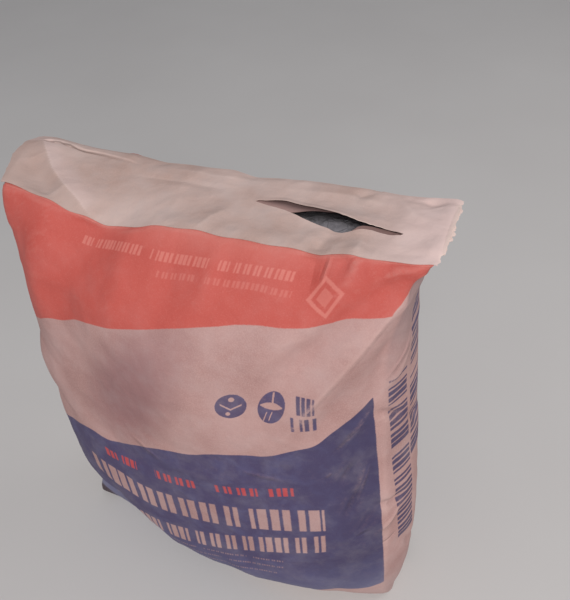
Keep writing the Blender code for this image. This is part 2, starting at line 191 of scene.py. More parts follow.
def getMap(piece):  # the paper coordinates at each vertex
    made = np.zeros((len(piece.data.vertices), 2))
    made[cornerVertices(piece)] = readRows(piece.data.uv_layers[0].data, "uv", 2)
    return made[:, 0], made[:, 1]


def setPlaces(piece, spots):
    piece.data.vertices.foreach_set("co", np.ascontiguousarray(spots).ravel())
    piece.data.update()


def setMap(piece, u, v):  # the paper coordinates, as the piece's own UV map
    corner = cornerVertices(piece)
    piece.data.uv_layers[0].data.foreach_set("uv", np.column_stack([u, v])[corner].ravel())


def setValue(piece, name, values):
    layer = piece.data.attributes.get(name) or piece.data.attributes.new(name, "FLOAT", "POINT")
    layer.data.foreach_set("value", np.ascontiguousarray(values, dtype=np.float32))


def addSheet(name, across, up):
    # A flat grid; the shares across and up of each of its vertices come back with it
    bpy.ops.object.select_all(action="DESELECT")
    bpy.ops.mesh.primitive_grid_add(x_subdivisions=across, y_subdivisions=up, size=1)
    piece = bpy.context.object
    piece.name = name
    piece.data.name = name
    flat = places(piece) + 0.5
    return piece, flat[:, 0], flat[:, 1]


def selectOnly(*pieces):  # the first of them is the active one
    bpy.ops.object.select_all(action="DESELECT")
    for piece in pieces:
        piece.select_set(True)
    bpy.context.view_layer.objects.active = pieces[0]


def joined(*pieces):
    selectOnly(*pieces)
    bpy.ops.object.join()
    return pieces[0]


def editAll(piece):
    selectOnly(piece)
    bpy.ops.object.mode_set(mode="EDIT")
    bpy.ops.mesh.select_all(action="SELECT")


def weld(piece, distance=0.00005):
    editAll(piece)
    bpy.ops.mesh.remove_doubles(threshold=distance)
    bpy.ops.mesh.normals_make_consistent(inside=False)
    bpy.ops.object.mode_set(mode="OBJECT")


def applied(piece, kind, **settings):
    selectOnly(piece)
    modifier = piece.modifiers.new(kind.title(), kind)
    for name, value in settings.items():
        setattr(modifier, name, value)
    bpy.ops.object.modifier_apply(modifier=modifier.name)


def smoothed(piece, angle=50):
    selectOnly(piece)
    bpy.ops.object.shade_smooth_by_angle(angle=math.radians(angle))


def tableAt(value, table):  # a table's second column, in metres, at values in its first
    return np.interp(value, *zip(*table)) / 1000


def grain(spots, size, seed, octaves=3):
    # Even noise over points, about -1 to 1
    shift = Vector((seed * 7.3, seed * 3.1, seed * 5.7))
    return np.array([noise.fractal(Vector(spot) / size + shift, 1.0, 2.0, octaves) for spot in spots])


def crumple(spots, size, seed):
    # Flat facets between sharp ridges, 0 at the ridges
    shift = Vector((seed * 2.9, seed * 4.7, seed * 1.3))
    made = []
    for spot in spots:
        near = noise.voronoi(Vector(spot) / size + shift)[0]
        made.append(near[1] - near[0])
    return np.array(made)


def bend(piece):
    # How far each vertex stands above its neighbours, in metres
    first, second = edgeEnds(piece).T
    spots = places(piece)
    total = np.zeros_like(spots)
    count = np.zeros(len(spots))
    for a, b in ((first, second), (second, first)):
        np.add.at(total, a, spots[b])
        np.add.at(count, a, 1)
    return np.sum((spots - total / count[:, None]) * normals(piece), axis=1)


# Folds and dents, as strokes over the paper: a way of points, then height and width.
# A positive height is a ridge, a negative one a valley, and sharp ones are creases.

folds = {
    "front": [
        ([(206, 466), (199, 452), (188.5, 435.5), (174, 415.5), (157, 391), (140, 367),
          (118, 335), (100, 308)], 7, 28, "sharp"),
        ([(188, 470), (170, 452), (152, 436), (128, 412), (100, 384)], -6.5, 16),
        ([(140, 470), (112, 430), (80, 390)], 2.5, 15),
        ([(165, 375), (150, 345), (138, 320)], -2.6, 10),
        ([(201, 420), (194, 372), (184, 336)], -3, 10),
        ([(201, 330), (200.5, 180), (200.5, 10)], 2.4, 14, "sharp"),
        ([(190, 336), (172, 312), (155, 296)], 2, 8, "sharp"),
        ([(168, 276), (158, 248)], -3.4, 8, "sharp"),
        ([(180, 264), (168, 222)], 2.4, 9, "sharp"),
        ([(174, 240), (160, 200)], -3.6, 9, "sharp"),
        ([(190, 200), (172, 168)], -2.6, 9, "sharp"),
        ([(-98, 510), (-106, 440), (-120, 370)], -5.2, 22),
        ([(-54, 510), (-50, 455), (-52, 400)], 3, 15),
        ([(-150, 486), (-149, 420), (-146, 350)], 4.5, 17),
        ([(-205, 400), (-205, 345)], -5, 16),
        ([(-200, 300), (-200, 225)], 9.5, 40),
        ([(15, 420), (15, 280)], 8.5, 50),
        ([(-105, 420), (-105, 280)], -5.5, 35),
        ([(-4, 512), (2, 470), (0, 430)], -2.6, 13),
        ([(30, 516), (34, 478), (30, 450)], 2.6, 9),
        ([(114, 512), (112, 482), (118, 452)], -3.6, 12),
        ([(134, 512), (137, 478)], -3, 7),
        ([(143, 512), (145, 474)], 2.2, 7, "sharp"),
        ([(-110, 258), (-80, 232), (-30, 238)], -2.6, 13),
        ([(-40, 262), (10, 250), (75, 262)], 2.2, 11),
        ([(-192, 310), (-178, 240), (-150, 180)], -3, 18),
        ([(-145, 160), (-125, 95), (-110, 40)], -2.8, 14),
        ([(-70, 120), (-50, 70), (-54, 30)], 2.2, 13),
        ([(20, 130), (60, 60), (80, 20)], 2.2, 14),
        ([(130, 120), (150, 60), (146, 20)], -2.2, 14),
    ],
    "side": [
        ([(192, 322), (208, 312), (226, 298)], -3, 7, "sharp"),
        ([(198, 345), (214, 354), (234, 378)], 2.4, 8, "sharp"),
        ([(192, 202), (206, 195), (222, 196)], -3.4, 7, "sharp"),
        ([(190, 162), (203, 170), (218, 184)], 2.6, 7, "sharp"),
        ([(230, 464), (238, 415), (248, 372)], -6, 20),
        ([(264, 462), (265, 415), (267, 380)], -6, 20),
        ([(268, 300), (265, 60)], 2.5, 35),
        ([(208, 472), (210, 436)], -8, 15),
        ([(236, 290), (256, 270), (280, 276)], -2.6, 9, "sharp"),
        ([(222, 130), (240, 100), (270, 85)], -2.8, 9, "sharp"),
    ],
    "back": [
        ([(296, 462), (390, 315)], 7, 26, "sharp"),
        ([(-296, 466), (-320, 402), (-352, 352)], 6.2, 26, "sharp"),
        ([(346, 478), (372, 412), (410, 370)], -4.4, 20),
        ([(-346, 478), (-382, 420), (-420, 392)], -4.2, 20),
        ([(430, 500), (436, 440), (428, 395)], -3.2, 15),
        ([(-440, 500), (-446, 430)], -2.8, 15),
        ([(-400, 500), (-396, 450), (-404, 410)], 2.4, 12),
        ([(310, 240), (345, 205), (400, 200)], -3.4, 14, "sharp"),
        ([(-330, 170), (-390, 150), (-440, 172)], -3, 14, "sharp"),
        ([(440, 140), (400, 90), (380, 30)], 2.4, 14),
    ],
    "left": [
        ([(-205, 468), (-214, 400), (-212, 330)], -1.8, 13),
        ([(-203, 476), (-200, 425)], 4.2, 16),
        ([(-240, 472), (-236, 400), (-242, 335)], 4.2, 14, "sharp"),
        ([(-280, 472), (-276, 395), (-284, 330)], -4.4, 14),
        ([(-215, 210), (-245, 180), (-282, 190)], -3, 11, "sharp"),
    ],
}

# These reach right up to the folds at the two ends
nearFolds = [
    ([(-290, 50), (-196, 56), (-120, 66), (-70, 78)], -13, 34),
    ([(167.3, 474), (172.2, 477), (176.8, 479), (185.3, 477.6), (193.8, 469.5)], 3, 11, "sharp"),
]


def strokes(u, v, listed):
    # The height of all the strokes at each place, and how near a sharp one runs
    lift = np.zeros_like(u)
    worn = np.zeros_like(u)
    for way, height, width, *sharp in listed:
        points = np.array(way) / 1000
        lengths = np.hypot(*np.diff(points, axis=0).T)
        total = lengths.sum()
        nearest = np.full_like(u, 9.0)
        along = np.zeros_like(u)
        for start, end, length, before in zip(points, points[1:], lengths, np.cumsum(lengths) - lengths):
            step = (end - start) / length
            run = np.clip((u - start[0]) * step[0] + (v - start[1]) * step[1], 0, length)
            away = np.hypot(u - start[0] - run * step[0], v - start[1] - run * step[1])
            closer = away < nearest
            nearest = np.where(closer, away, nearest)
            along = np.where(closer, (before + run) / total, along)
        fade = np.sin(np.pi * np.clip(along, 0.04, 0.96)) ** 0.6
        ratio = nearest * 1000 / width
        if sharp:
            shape = np.maximum(1.08 - np.sqrt(ratio**2 + 0.0064), 0) ** 1.3
            worn = np.maximum(worn, fade * np.exp(-((nearest / 0.0022) ** 2)))
        else:
            shape = np.exp(-(ratio**2))
        lift += height / 1000 * fade * shape
    return lift, worn


# The sack

sack = {
    "columns": 140,
    "rows": 68,
    "endSteps": (56, 14),
    "paper": 0.0006,
    "paperLength": 0.500,
    "frames": 24,
    "cloth": {
        "quality": 6,
        "mass": 0.25,
        "tension_stiffness": 60,
        "compression_stiffness": 60,
        "shear_stiffness": 30,
        "bending_stiffness": 0.6,
        "air_damping": 4,
        "pin_stiffness": 0.7,
        "uniform_pressure_force": 3.0,
    },
    "cap": 0.004,  # the furthest that the simulation may move the paper
    "foldCrease": 0.85,
    "slitLeft": (0.036, 0.001),
    "slitRight": (0.171, -0.015),
    "plyStep": 0.032,
    "crumpleSize": 0.030,
    "crumpleHeight": 0.0009,
    "waveSize": 0.090,
    "waveHeight": 0.0016,
    "cornerLift": 0.007,
    "seamAt": 0.494,
    "seamStep": 0.0007,
}


def slitLine(x):  # the middle of the slit, in the frame of the end
    (startX, startY), (endX, endY) = sack["slitLeft"], sack["slitRight"]
    share = np.clip((x - startX) / (endX - startX), -0.3, 1.25)
    return startY + (endY - startY) * share


def sackHeights(count):  # row heights, evenly spaced along the front of the paper
    fine = np.concatenate([np.linspace(0, 0.02, 200), np.linspace(0.02, bag["height"], 400)[1:]])
    line = onWall(np.zeros_like(fine), fine)
    length = np.concatenate([[0], np.cumsum(np.linalg.norm(np.diff(line, axis=0), axis=1))])
    return np.interp(np.linspace(0, length[-1], count + 1), length, fine)


def stretched(s, t, edge):
    # A sheet over the four edges of an end, with edge giving the places round it
    s3, t3 = s[:, None], t[:, None]
    none = np.zeros_like(s)
    made = edge(-0.2 + 0.4 * s) * (1 - t3) + edge(0.7 - 0.4 * s) * t3
    made = made + edge(0.8 - 0.1 * t) * (1 - s3) + edge(0.2 + 0.1 * t) * s3
    made -= edge(none - 0.2) * (1 - s3) * (1 - t3) + edge(none + 0.2) * s3 * (1 - t3)
    made -= edge(none + 0.7) * (1 - s3) * t3 + edge(none + 0.3) * s3 * t3
    return made


def endCap(name, height, depth, across, up):
    # A folded end; its u and v lie past the print
    piece, s, t = addSheet(name, across, up)
    spots = stretched(s, t, lambda u: onWall(u, np.full_like(u, height)))
    if height > 0:
        inside = (s > 0.001) & (s < 0.999) & (t > 0.001) & (t < 0.999)
        reach = upAndDown(spots[:, 0], 0.020, 0.055, 0.172, 0.192)
        spots[:, 1] += inside * slitLine(spots[:, 0]) * (1 - np.abs(2 * t - 1)) * reach
        x, y = spots[:, 0], spots[:, 1] - bag["lean"]
        spots[:, 2] = np.where(inside, bag["base"] + height - topDrop(x, y), spots[:, 2])
    setPlaces(piece, spots)
    setMap(piece, (s - 0.5) * bag["endLength"], 0.65 + t * depth if height else -0.25 + t * depth)
    return piece, s, t


def setPattern(piece, spots):
    layer = piece.data.attributes.new("pattern", "FLOAT_VECTOR", "POINT")
    layer.data.foreach_set("vector", spots.ravel())


def rolledSack():
    # One sheet of paper rolled into a tube, and the two folded ends
    wall, s, t = addSheet("paperSack", sack["columns"], sack["rows"])
    u = (s - 0.5) * bag["girth"]
    row = np.rint(t * sack["rows"]).astype(int)
    column = np.rint(s * sack["columns"]).astype(int)
    spots = onWall(u, sackHeights(sack["rows"])[row])
    setPlaces(wall, spots)
    grid = np.zeros((sack["columns"] + 1, sack["rows"] + 1, 3))
    grid[column, row] = spots
    length = np.cumsum(np.linalg.norm(np.diff(grid, axis=1, prepend=grid[:, :1]), axis=2), axis=1)
    setMap(wall, u, length[column, row])
    setPattern(wall, np.column_stack([onRim(u, bag["bottomDepth"], 0), t * sack["paperLength"]]))
    caps = []
    for name, height, depth in (
        ("lowerEnd", 0.0, bag["bottomDepth"]),
        ("upperEnd", bag["height"], bag["topDepth"]),
    ):
        cap, s, t = endCap(name, height, depth, *sack["endSteps"])
        x, y = (s - 0.5) * bag["endLength"], (t - 0.5) * bag["bottomDepth"]
        level = sack["paperLength"] if height else 0.0
        setPattern(cap, np.column_stack([x, y, np.full_like(x, level)]))
        caps.append(cap)
    piece = joined(wall, *caps)
    weld(piece)
    return piece


def inflated(piece):
    # The paper is a little longer than the smooth form at the ears and shorter at
    # the belly, so under the push of the fill it buckles there as the real one does
    pattern = patternOf(piece)
    before = places(piece)
    piece.shape_key_add(name="Basis", from_mix=False)
    key = piece.shape_key_add(name="pattern", from_mix=False)
    key.data.foreach_set("co", pattern.ravel())
    key.value = 0.0
    share = pattern[:, 2] / sack["paperLength"]
    ears = smoothStep(np.abs(pattern[:, 0]), 0.165, 0.200) * smoothStep(share, 0.97, 1.0)
    hold = 0.06 + 0.3 * smoothStep(share, 0.985, 1.0) + 0.4 * (1 - smoothStep(share, 0.0, 0.06))
    hold = np.where(share < 0.002, 1.0, np.maximum(hold, ears * 0.9))
    group = piece.vertex_groups.new(name="hold")
    levels = np.rint(hold * 50).astype(int)
    for level in np.unique(levels):
        group.add(np.flatnonzero(levels == level).tolist(), level / 50, "REPLACE")
    cloth = piece.modifiers.new("Paper", "CLOTH")
    for name, value in sack["cloth"].items():
        setattr(cloth.settings, name, value)
    cloth.settings.vertex_group_mass = "hold"
    cloth.settings.rest_shape_key = key
    cloth.settings.use_pressure = True
    cloth.settings.effector_weights.gravity = 0
    cloth.collision_settings.use_self_collision = False
    cloth.collision_settings.use_collision = False
    cloth.point_cache.frame_start = 1
    cloth.point_cache.frame_end = sack["frames"]
    scene = bpy.context.scene
    for now in range(1, sack["frames"] + 1):
        scene.frame_set(now)
    shown = piece.evaluated_get(bpy.context.evaluated_depsgraph_get())
    moved = places(shown) - before
    scene.frame_set(1)
    piece.modifiers.remove(cloth)
    piece.shape_key_clear()
    piece.vertex_groups.clear()
    length = np.linalg.norm(moved, axis=1)
    print("  the paper moved up to", round(length.max() * 1000, 1), "mm, on average",
          round(length.mean() * 1000, 2), "mm")
    shorter = np.minimum(1, sack["cap"] / np.maximum(length, 1e-9))
    setPlaces(piece, before + moved * shorter[:, None])


def creaseFolds(piece):
    # The rims of both ends stay crisp folds when the paper is subdivided
    pattern = patternOf(piece)
    onSide = (np.abs(np.abs(pattern[:, 0]) - 0.2) < 0.0005) | (np.abs(np.abs(pattern[:, 1]) - 0.05) < 0.0005)
    level = (pattern[:, 2] < 0.0005) | (pattern[:, 2] > sack["paperLength"] - 0.0005)
    rim = onSide & level
    edges = edgeEnds(piece)
    layer = piece.data.attributes.new("crease_edge", "FLOAT", "EDGE")
    layer.data.foreach_set("value", (rim[edges[:, 0]] & rim[edges[:, 1]]) * np.float32(sack["foldCrease"]))


# How far the upper end's front and back folds rise or sink, at places along x
rims = {
    "front": [(-190, -1.8), (-170, -0.5), (-142, 0), (-122, -2.3), (-105, -1.9), (-84, -3.5), (-60, -1),
        (-35, 2.6), (3, 1.6), (30, 0.7), (62, 1.6), (98, 0), (114, -1.2), (138, 3.7), (168, -0.2),
        (197, -2)],
    "back": [(-213, -5.4), (-182, -3.2), (-155, -3), (-110, -0.8), (-74, -3.6), (-47, -2), (-3, 0),
        (20, -3.6), (67, 1.6), (116, 2.5), (172, -0.9), (203, -0.5)],
    "reach": 0.028,  # over which it fades, across the end and down the wall
}


def rimRise(piece, x):
    across, level = patternOf(piece)[:, 1:].T
    half, top = bag["bottomDepth"] / 2, sack["paperLength"]
    made = np.zeros_like(x)
    for side, listed in ((-1, rims["front"]), (1, rims["back"])):
        near = 1 - smoothStep(half - side * across, 0, rims["reach"])
        made += near * tableAt(x * 1000, listed)
    return made * smoothStep(level, top - 3 * rims["reach"], top)


def creased(piece):
    # Large waves, the strokes of the folds, and fine crumpling, along the normals
    u, v = getMap(piece)
    spots, outwards = places(piece), normals(piece)
    onWallNow = (v > -0.01) & (v < 0.6)
    low = smoothStep(v, 0.004, 0.03)
    high = 1 - smoothStep(v, 0.474, 0.484) * (np.abs(np.mod(u + 0.25, 0.5) - 0.25) > 0.17)
    lift = np.zeros_like(u)
    worn = np.zeros_like(u)
    for group in folds.values():
        more, edge = strokes(u, v, group)
        lift += more
        worn = np.maximum(worn, edge)
    wave = grain(spots, sack["waveSize"], 3, 2) * sack["waveHeight"]
    ears = smoothStep(v, 0.36, 0.46) * smoothStep(np.abs(np.mod(u + 0.25, 0.5) - 0.25), 0.06, 0.2)
    ridges = np.minimum(crumple(spots, sack["crumpleSize"], 5), 0.5)
    fine = (0.25 - ridges) * sack["crumpleHeight"] * (1 + 1.6 * ears)
    tight = np.minimum(crumple(spots, sack["crumpleSize"] * 0.45, 9), 0.5)
    fine += (0.25 - tight) * sack["crumpleHeight"] * 0.5 * (0.5 + 1.5 * ears)
    seam = sack["seamStep"] * smoothStep(np.abs(u), sack["seamAt"] - 0.002, sack["seamAt"])
    near = strokes(u, v, nearFolds)[0] * smoothStep(v, 0.002, 0.010)
    amount = ((lift + wave + fine + seam) * low * high + near) * onWallNow
    spots += outwards * amount[:, None]
    corner = np.exp(-(((u + 0.175) / 0.055) ** 2)) * (1 - smoothStep(v, 0.0, 0.090)) * onWallNow
    spots[:, 2] += sack["cornerLift"] * corner * smoothStep(v, 0.0, 0.012)
    spots[:, 2] += rimRise(piece, spots[:, 0])
    spots[:, 2] = np.maximum(spots[:, 2], bag["base"])
    setPlaces(piece, spots)
    setValue(piece, "worn", worn * onWallNow)


def treeOf(piece):
    return BVHTree.FromPolygons(
        [tuple(spot) for spot in places(piece)],
        [tuple(face.vertices) for face in piece.data.polygons],
    )


def heightOn(tree, x, y):
    # The height of the sack's end at each place, or its nearest point's where a ray from above misses it
    above, lowest = 0.7, 0.40
    made = []
    for a, b in zip(x, y):
        hit = tree.ray_cast(Vector((a, b, above)), Vector((0, 0, -1)))[0]
        if hit is None or hit.z < lowest:
            hit = tree.find_nearest(Vector((a, b, bag["height"])))[0]
        made.append(hit.z)
    return np.array(made)


# The slit: each lip is drawn away from the line between the slit's ends. Its edge is given
# by shares of the slit's length and how far back from that line it lies there.

slit = {
    "patchFront": [(0, 0), (0.10, -1.4), (0.22, -1.2), (0.30, -3.3), (0.36, -5.6), (0.42, -7),
        (0.48, -7.9), (0.54, -8.3), (0.59, -9.9), (0.63, -10.2), (0.66, -8.6), (0.685, -6.7),
        (0.71, -4.6), (0.74, -2.7), (0.80, -1.1), (0.86, -1.8), (0.93, -3), (0.97, -2), (1, 0)],
    "patchBack": [(0, 0), (0.03, 1.8), (0.07, 3.2), (0.13, 7.2), (0.18, 9.2), (0.23, 9.6), (0.29, 9.1),
        (0.36, 8), (0.43, 7.7), (0.50, 7.1), (0.56, 6.2), (0.62, 4.7), (0.67, 3.5), (0.71, 2.1),
        (0.76, 1.8), (0.84, 2.2), (0.93, 0.8), (1, 0)],
    "sackFront": [(0, 0), (0.30, -4), (0.36, -6.2), (0.42, -7.6), (0.48, -8.5), (0.54, -8.9),
        (0.59, -10.5), (0.63, -10.8), (0.66, -9), (0.685, -5.8), (0.71, -1), (0.74, 1.2), (0.80, 3),
        (0.88, 3), (0.95, 1.8), (1, 0)],
    "sackBack": [(0.24, -3), (0.27, -1.2), (0.30, 0.9), (0.35, 4.2), (0.40, 6.2), (0.45, 7.6),
        (0.50, 8.6), (0.56, 10), (0.62, 9.5), (0.67, 8.5), (0.71, 7.2), (0.76, 6.6), (0.84, 5.8),
        (0.93, 3.5), (1, 0)],
    "spread": 0.022,  # over which a lip's pull fades out
    "valley": 0.0015,  # how far the front lip sinks
    "backRise": 0.0035,
}


def slitForm(x, y):
    # How far the end sinks or rises round the slit, in the frame of the end
    startX, endX = sack["slitLeft"][0], sack["slitRight"][0]
    share = (x - startX) / (endX - startX)
    along = np.exp(-(((share - 0.62) / 0.30) ** 2))
    off = y - slitLine(x)
    front = np.exp(-(((off + 0.014) / 0.013) ** 2))
    back = np.exp(-(((off - 0.008) / 0.010) ** 2))
    return -slit["valley"] * along * front + slit["backRise"] * along * back


# Folds across the upper end, in x and y on the end itself
endFolds = [
    ([(-201, 26.5), (-166, -8), (-140, -27), (-103, -47)], 5, 16, "sharp"),
    ([(-194, 4), (-168, -20), (-140, -37)], -7, 18),
    ([(-60, 30), (-10, 29), (45, 33)], 1, 8, "sharp"),
    ([(-95, 10), (-30, 14), (10, 10)], -1.4, 8, "sharp"),
    ([(6, -53), (12, -32), (20, -18)], 2.2, 11, "sharp"),
    ([(60, 26), (110, 28), (150, 24)], 1.4, 9, "sharp"),
    ([(128, 42), (120, 26)], -1.6, 8, "sharp"),
    ([(112, -20), (108, -52)], -3.4, 12, "sharp"),
    ([(138, -18), (142, -50)], 2, 10, "sharp"),
    ([(150, 40), (170, 12), (196, 0)], 2, 10, "sharp"),
    ([(176, 44), (188, 28)], -3.4, 9),
    ([(166, -36), (190, -20)], -1.8, 10),
]


# Behind this line the left end of the paper stands up in a narrow ledge
ledge = {
    "line": [(-200, 28.5), (-183, 34), (-158, 29.5), (-142, 30), (-116, 28.6), (-89, 26.8)],
    "rise": 0.0019,
    "atFold": 0.0012,
    "groove": 0.0012,
}


def pastLedge(x, y):
    # How far behind the ledge's line each place lies, and where there is a ledge at all
    along = upAndDown(x, -0.205, -0.195, -0.130, -0.085)
    return y - tableAt(x * 1000, ledge["line"]), along


def endForm(x, y):
    # How far the sack's end and its patch rise or sink together, fading to the folds
    half = bag["endLength"] / 2
    straight = x - skewX(x, y)
    front = -bag["topDepth"] / 2 - bag["bow"] * np.clip(1 - (straight / half) ** 2, 0, 1)
    fade = smoothStep(y - front, -0.001, 0.010) * smoothStep(bag["topDepth"] / 2 - y, -0.001, 0.008)
    fade = fade * smoothStep(half - np.abs(straight), -0.001, 0.010)
    lift, worn = strokes(x, y, endFolds)
    beyond, along = pastLedge(x, y)
    lift -= along * ledge["groove"] * np.exp(-(((beyond + 0.0006) / 0.0009) ** 2))
    step = np.interp(beyond, [0, 0.015], [ledge["rise"], ledge["atFold"]])
    lift += along * smoothStep(beyond, 0, 0.002) * step
    flat = np.column_stack([x, y, np.zeros_like(x)])
    fine = 0.0010 * np.maximum(0, 0.6 - crumple(flat, 0.026, 2)) + 0.0008 * grain(flat, 0.030, 7, 2)
    return (slitForm(x, y) + lift + fine) * fade, worn * fade


def opened(piece, row, start, frontLip, backLip):
    # Splits the edges of one grid row from a place on and draws the lips to their edges
    spots = places(piece)
    startX, endX = sack["slitLeft"][0], sack["slitRight"][0]
    on = row & (spots[:, 0] > start - 1e-5) & (spots[:, 0] < endX + 1e-5)
    setValue(piece, "cut", on)
    editAll(piece)
    bpy.ops.mesh.select_mode(type="EDGE")
    bpy.ops.mesh.select_all(action="DESELECT")
    bpy.ops.object.mode_set(mode="OBJECT")
    for edge in piece.data.edges:
        edge.select = bool(on[edge.vertices[0]] and on[edge.vertices[1]])
    bpy.ops.object.mode_set(mode="EDIT")
    bpy.ops.mesh.edge_split(type="EDGE")
    bpy.ops.mesh.select_mode(type="VERT")
    bpy.ops.object.mode_set(mode="OBJECT")
    spots = places(piece)
    x, y = spots[:, 0], spots[:, 1] - bag["lean"]
    line = slitLine(x)
    cut = getValue(piece, "cut") > 0.5
    side = np.zeros(len(spots))
    for face in piece.data.polygons:
        for corner in face.vertices:
            side[corner] += face.center.y - spots[corner, 1]
    side = np.where(cut, side, y - line)
    share = (x - startX) / (endX - startX)
    fade = np.where(cut, 1, np.clip(1 - np.abs(y - line) / slit["spread"], 0, 1) ** 1.5)
    order = np.flatnonzero(cut)[np.argsort(x[cut])]
    settle = np.interp(x, x[order], (line - y)[order])  # from where the row is now to the line
    lips = np.where(side < 0, tableAt(share, frontLip), tableAt(share, backLip))
    pull = (lips + settle) * fade * ((x > start - 0.002) & (x < endX + 0.002))
    spots[:, 1] += np.where(spots[:, 2] > 0.43, pull, 0)
    setPlaces(piece, spots)
    return cut.astype(float)


def makeSack(paint):
    piece = rolledSack()
    inflated(piece)
    creaseFolds(piece)
    applied(piece, "SUBSURF", levels=1, render_levels=1, uv_smooth="NONE")
    creased(piece)
    print("Sack: the paper is rolled, filled and creased,", len(piece.data.vertices), "vertices")
    tree = treeOf(piece)
    u, v = getMap(piece)
    middle = 0.65 + bag["topDepth"] / 2
    row = (np.abs(v - middle) < 0.0005) & (v > 0.6)
    opened(piece, row, sack["slitLeft"][0] + sack["plyStep"], slit["sackFront"], slit["sackBack"])
    u, v = getMap(piece)
    spots = places(piece)
    end = (v > 0.651) & (v < 0.649 + bag["topDepth"]) & (np.abs(u) < 0.199)
    x, y = spots[end, 0], spots[end, 1]
    beyond, along = pastLedge(x, y - bag["lean"])
    clear = 0.0014 * along * np.exp(-((beyond / 0.004) ** 2))  # so that the patch can bend more sharply
    spots[end, 2] = heightOn(tree, x, y) + endForm(x, y - bag["lean"])[0] - clear
    setPlaces(piece, spots)
    setValue(piece, "ridge", bend(piece) * 1000)
    applied(piece, "SOLIDIFY", thickness=sack["paper"], offset=-1.0)
    piece.data.materials.append(paint)
    smoothed(piece)
    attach(piece, "root")
    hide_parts("paper_sack")
    return tree


# The cover patch, pasted over the upper end and slit with it

patch = {
    "columns": 206,
    "rows": 84,
    "overhang": 0.0055,
    # How far the ends stand out past the folds, from the front of the patch to its back
    "leftEnd": [(0, 2.5), (0.1, 4.5), (0.35, 8), (0.5, 12), (0.6, 10), (0.78, 8.5), (0.92, 4), (1, 1)],
    "rightEnd": [(0, 2.5), (0.2, 4.8), (0.5, 6.2), (0.8, 5.2), (1, 3.5)],
    "corner": (-0.194, -0.046, 0.0022, 0.014),  # x, y, rise and radius of a corner that has come loose
    "lipRise": 0.0018,  # the slit's back edge curls up off the sack
    "droop": 0.12,
    "margin": 0.0014,
    "paper": 0.0005,
    "gap": 0.0003,
    "sleeveLift": 0.0016,
    "tear": (0.0026, 0.0020),  # small and large jags
}


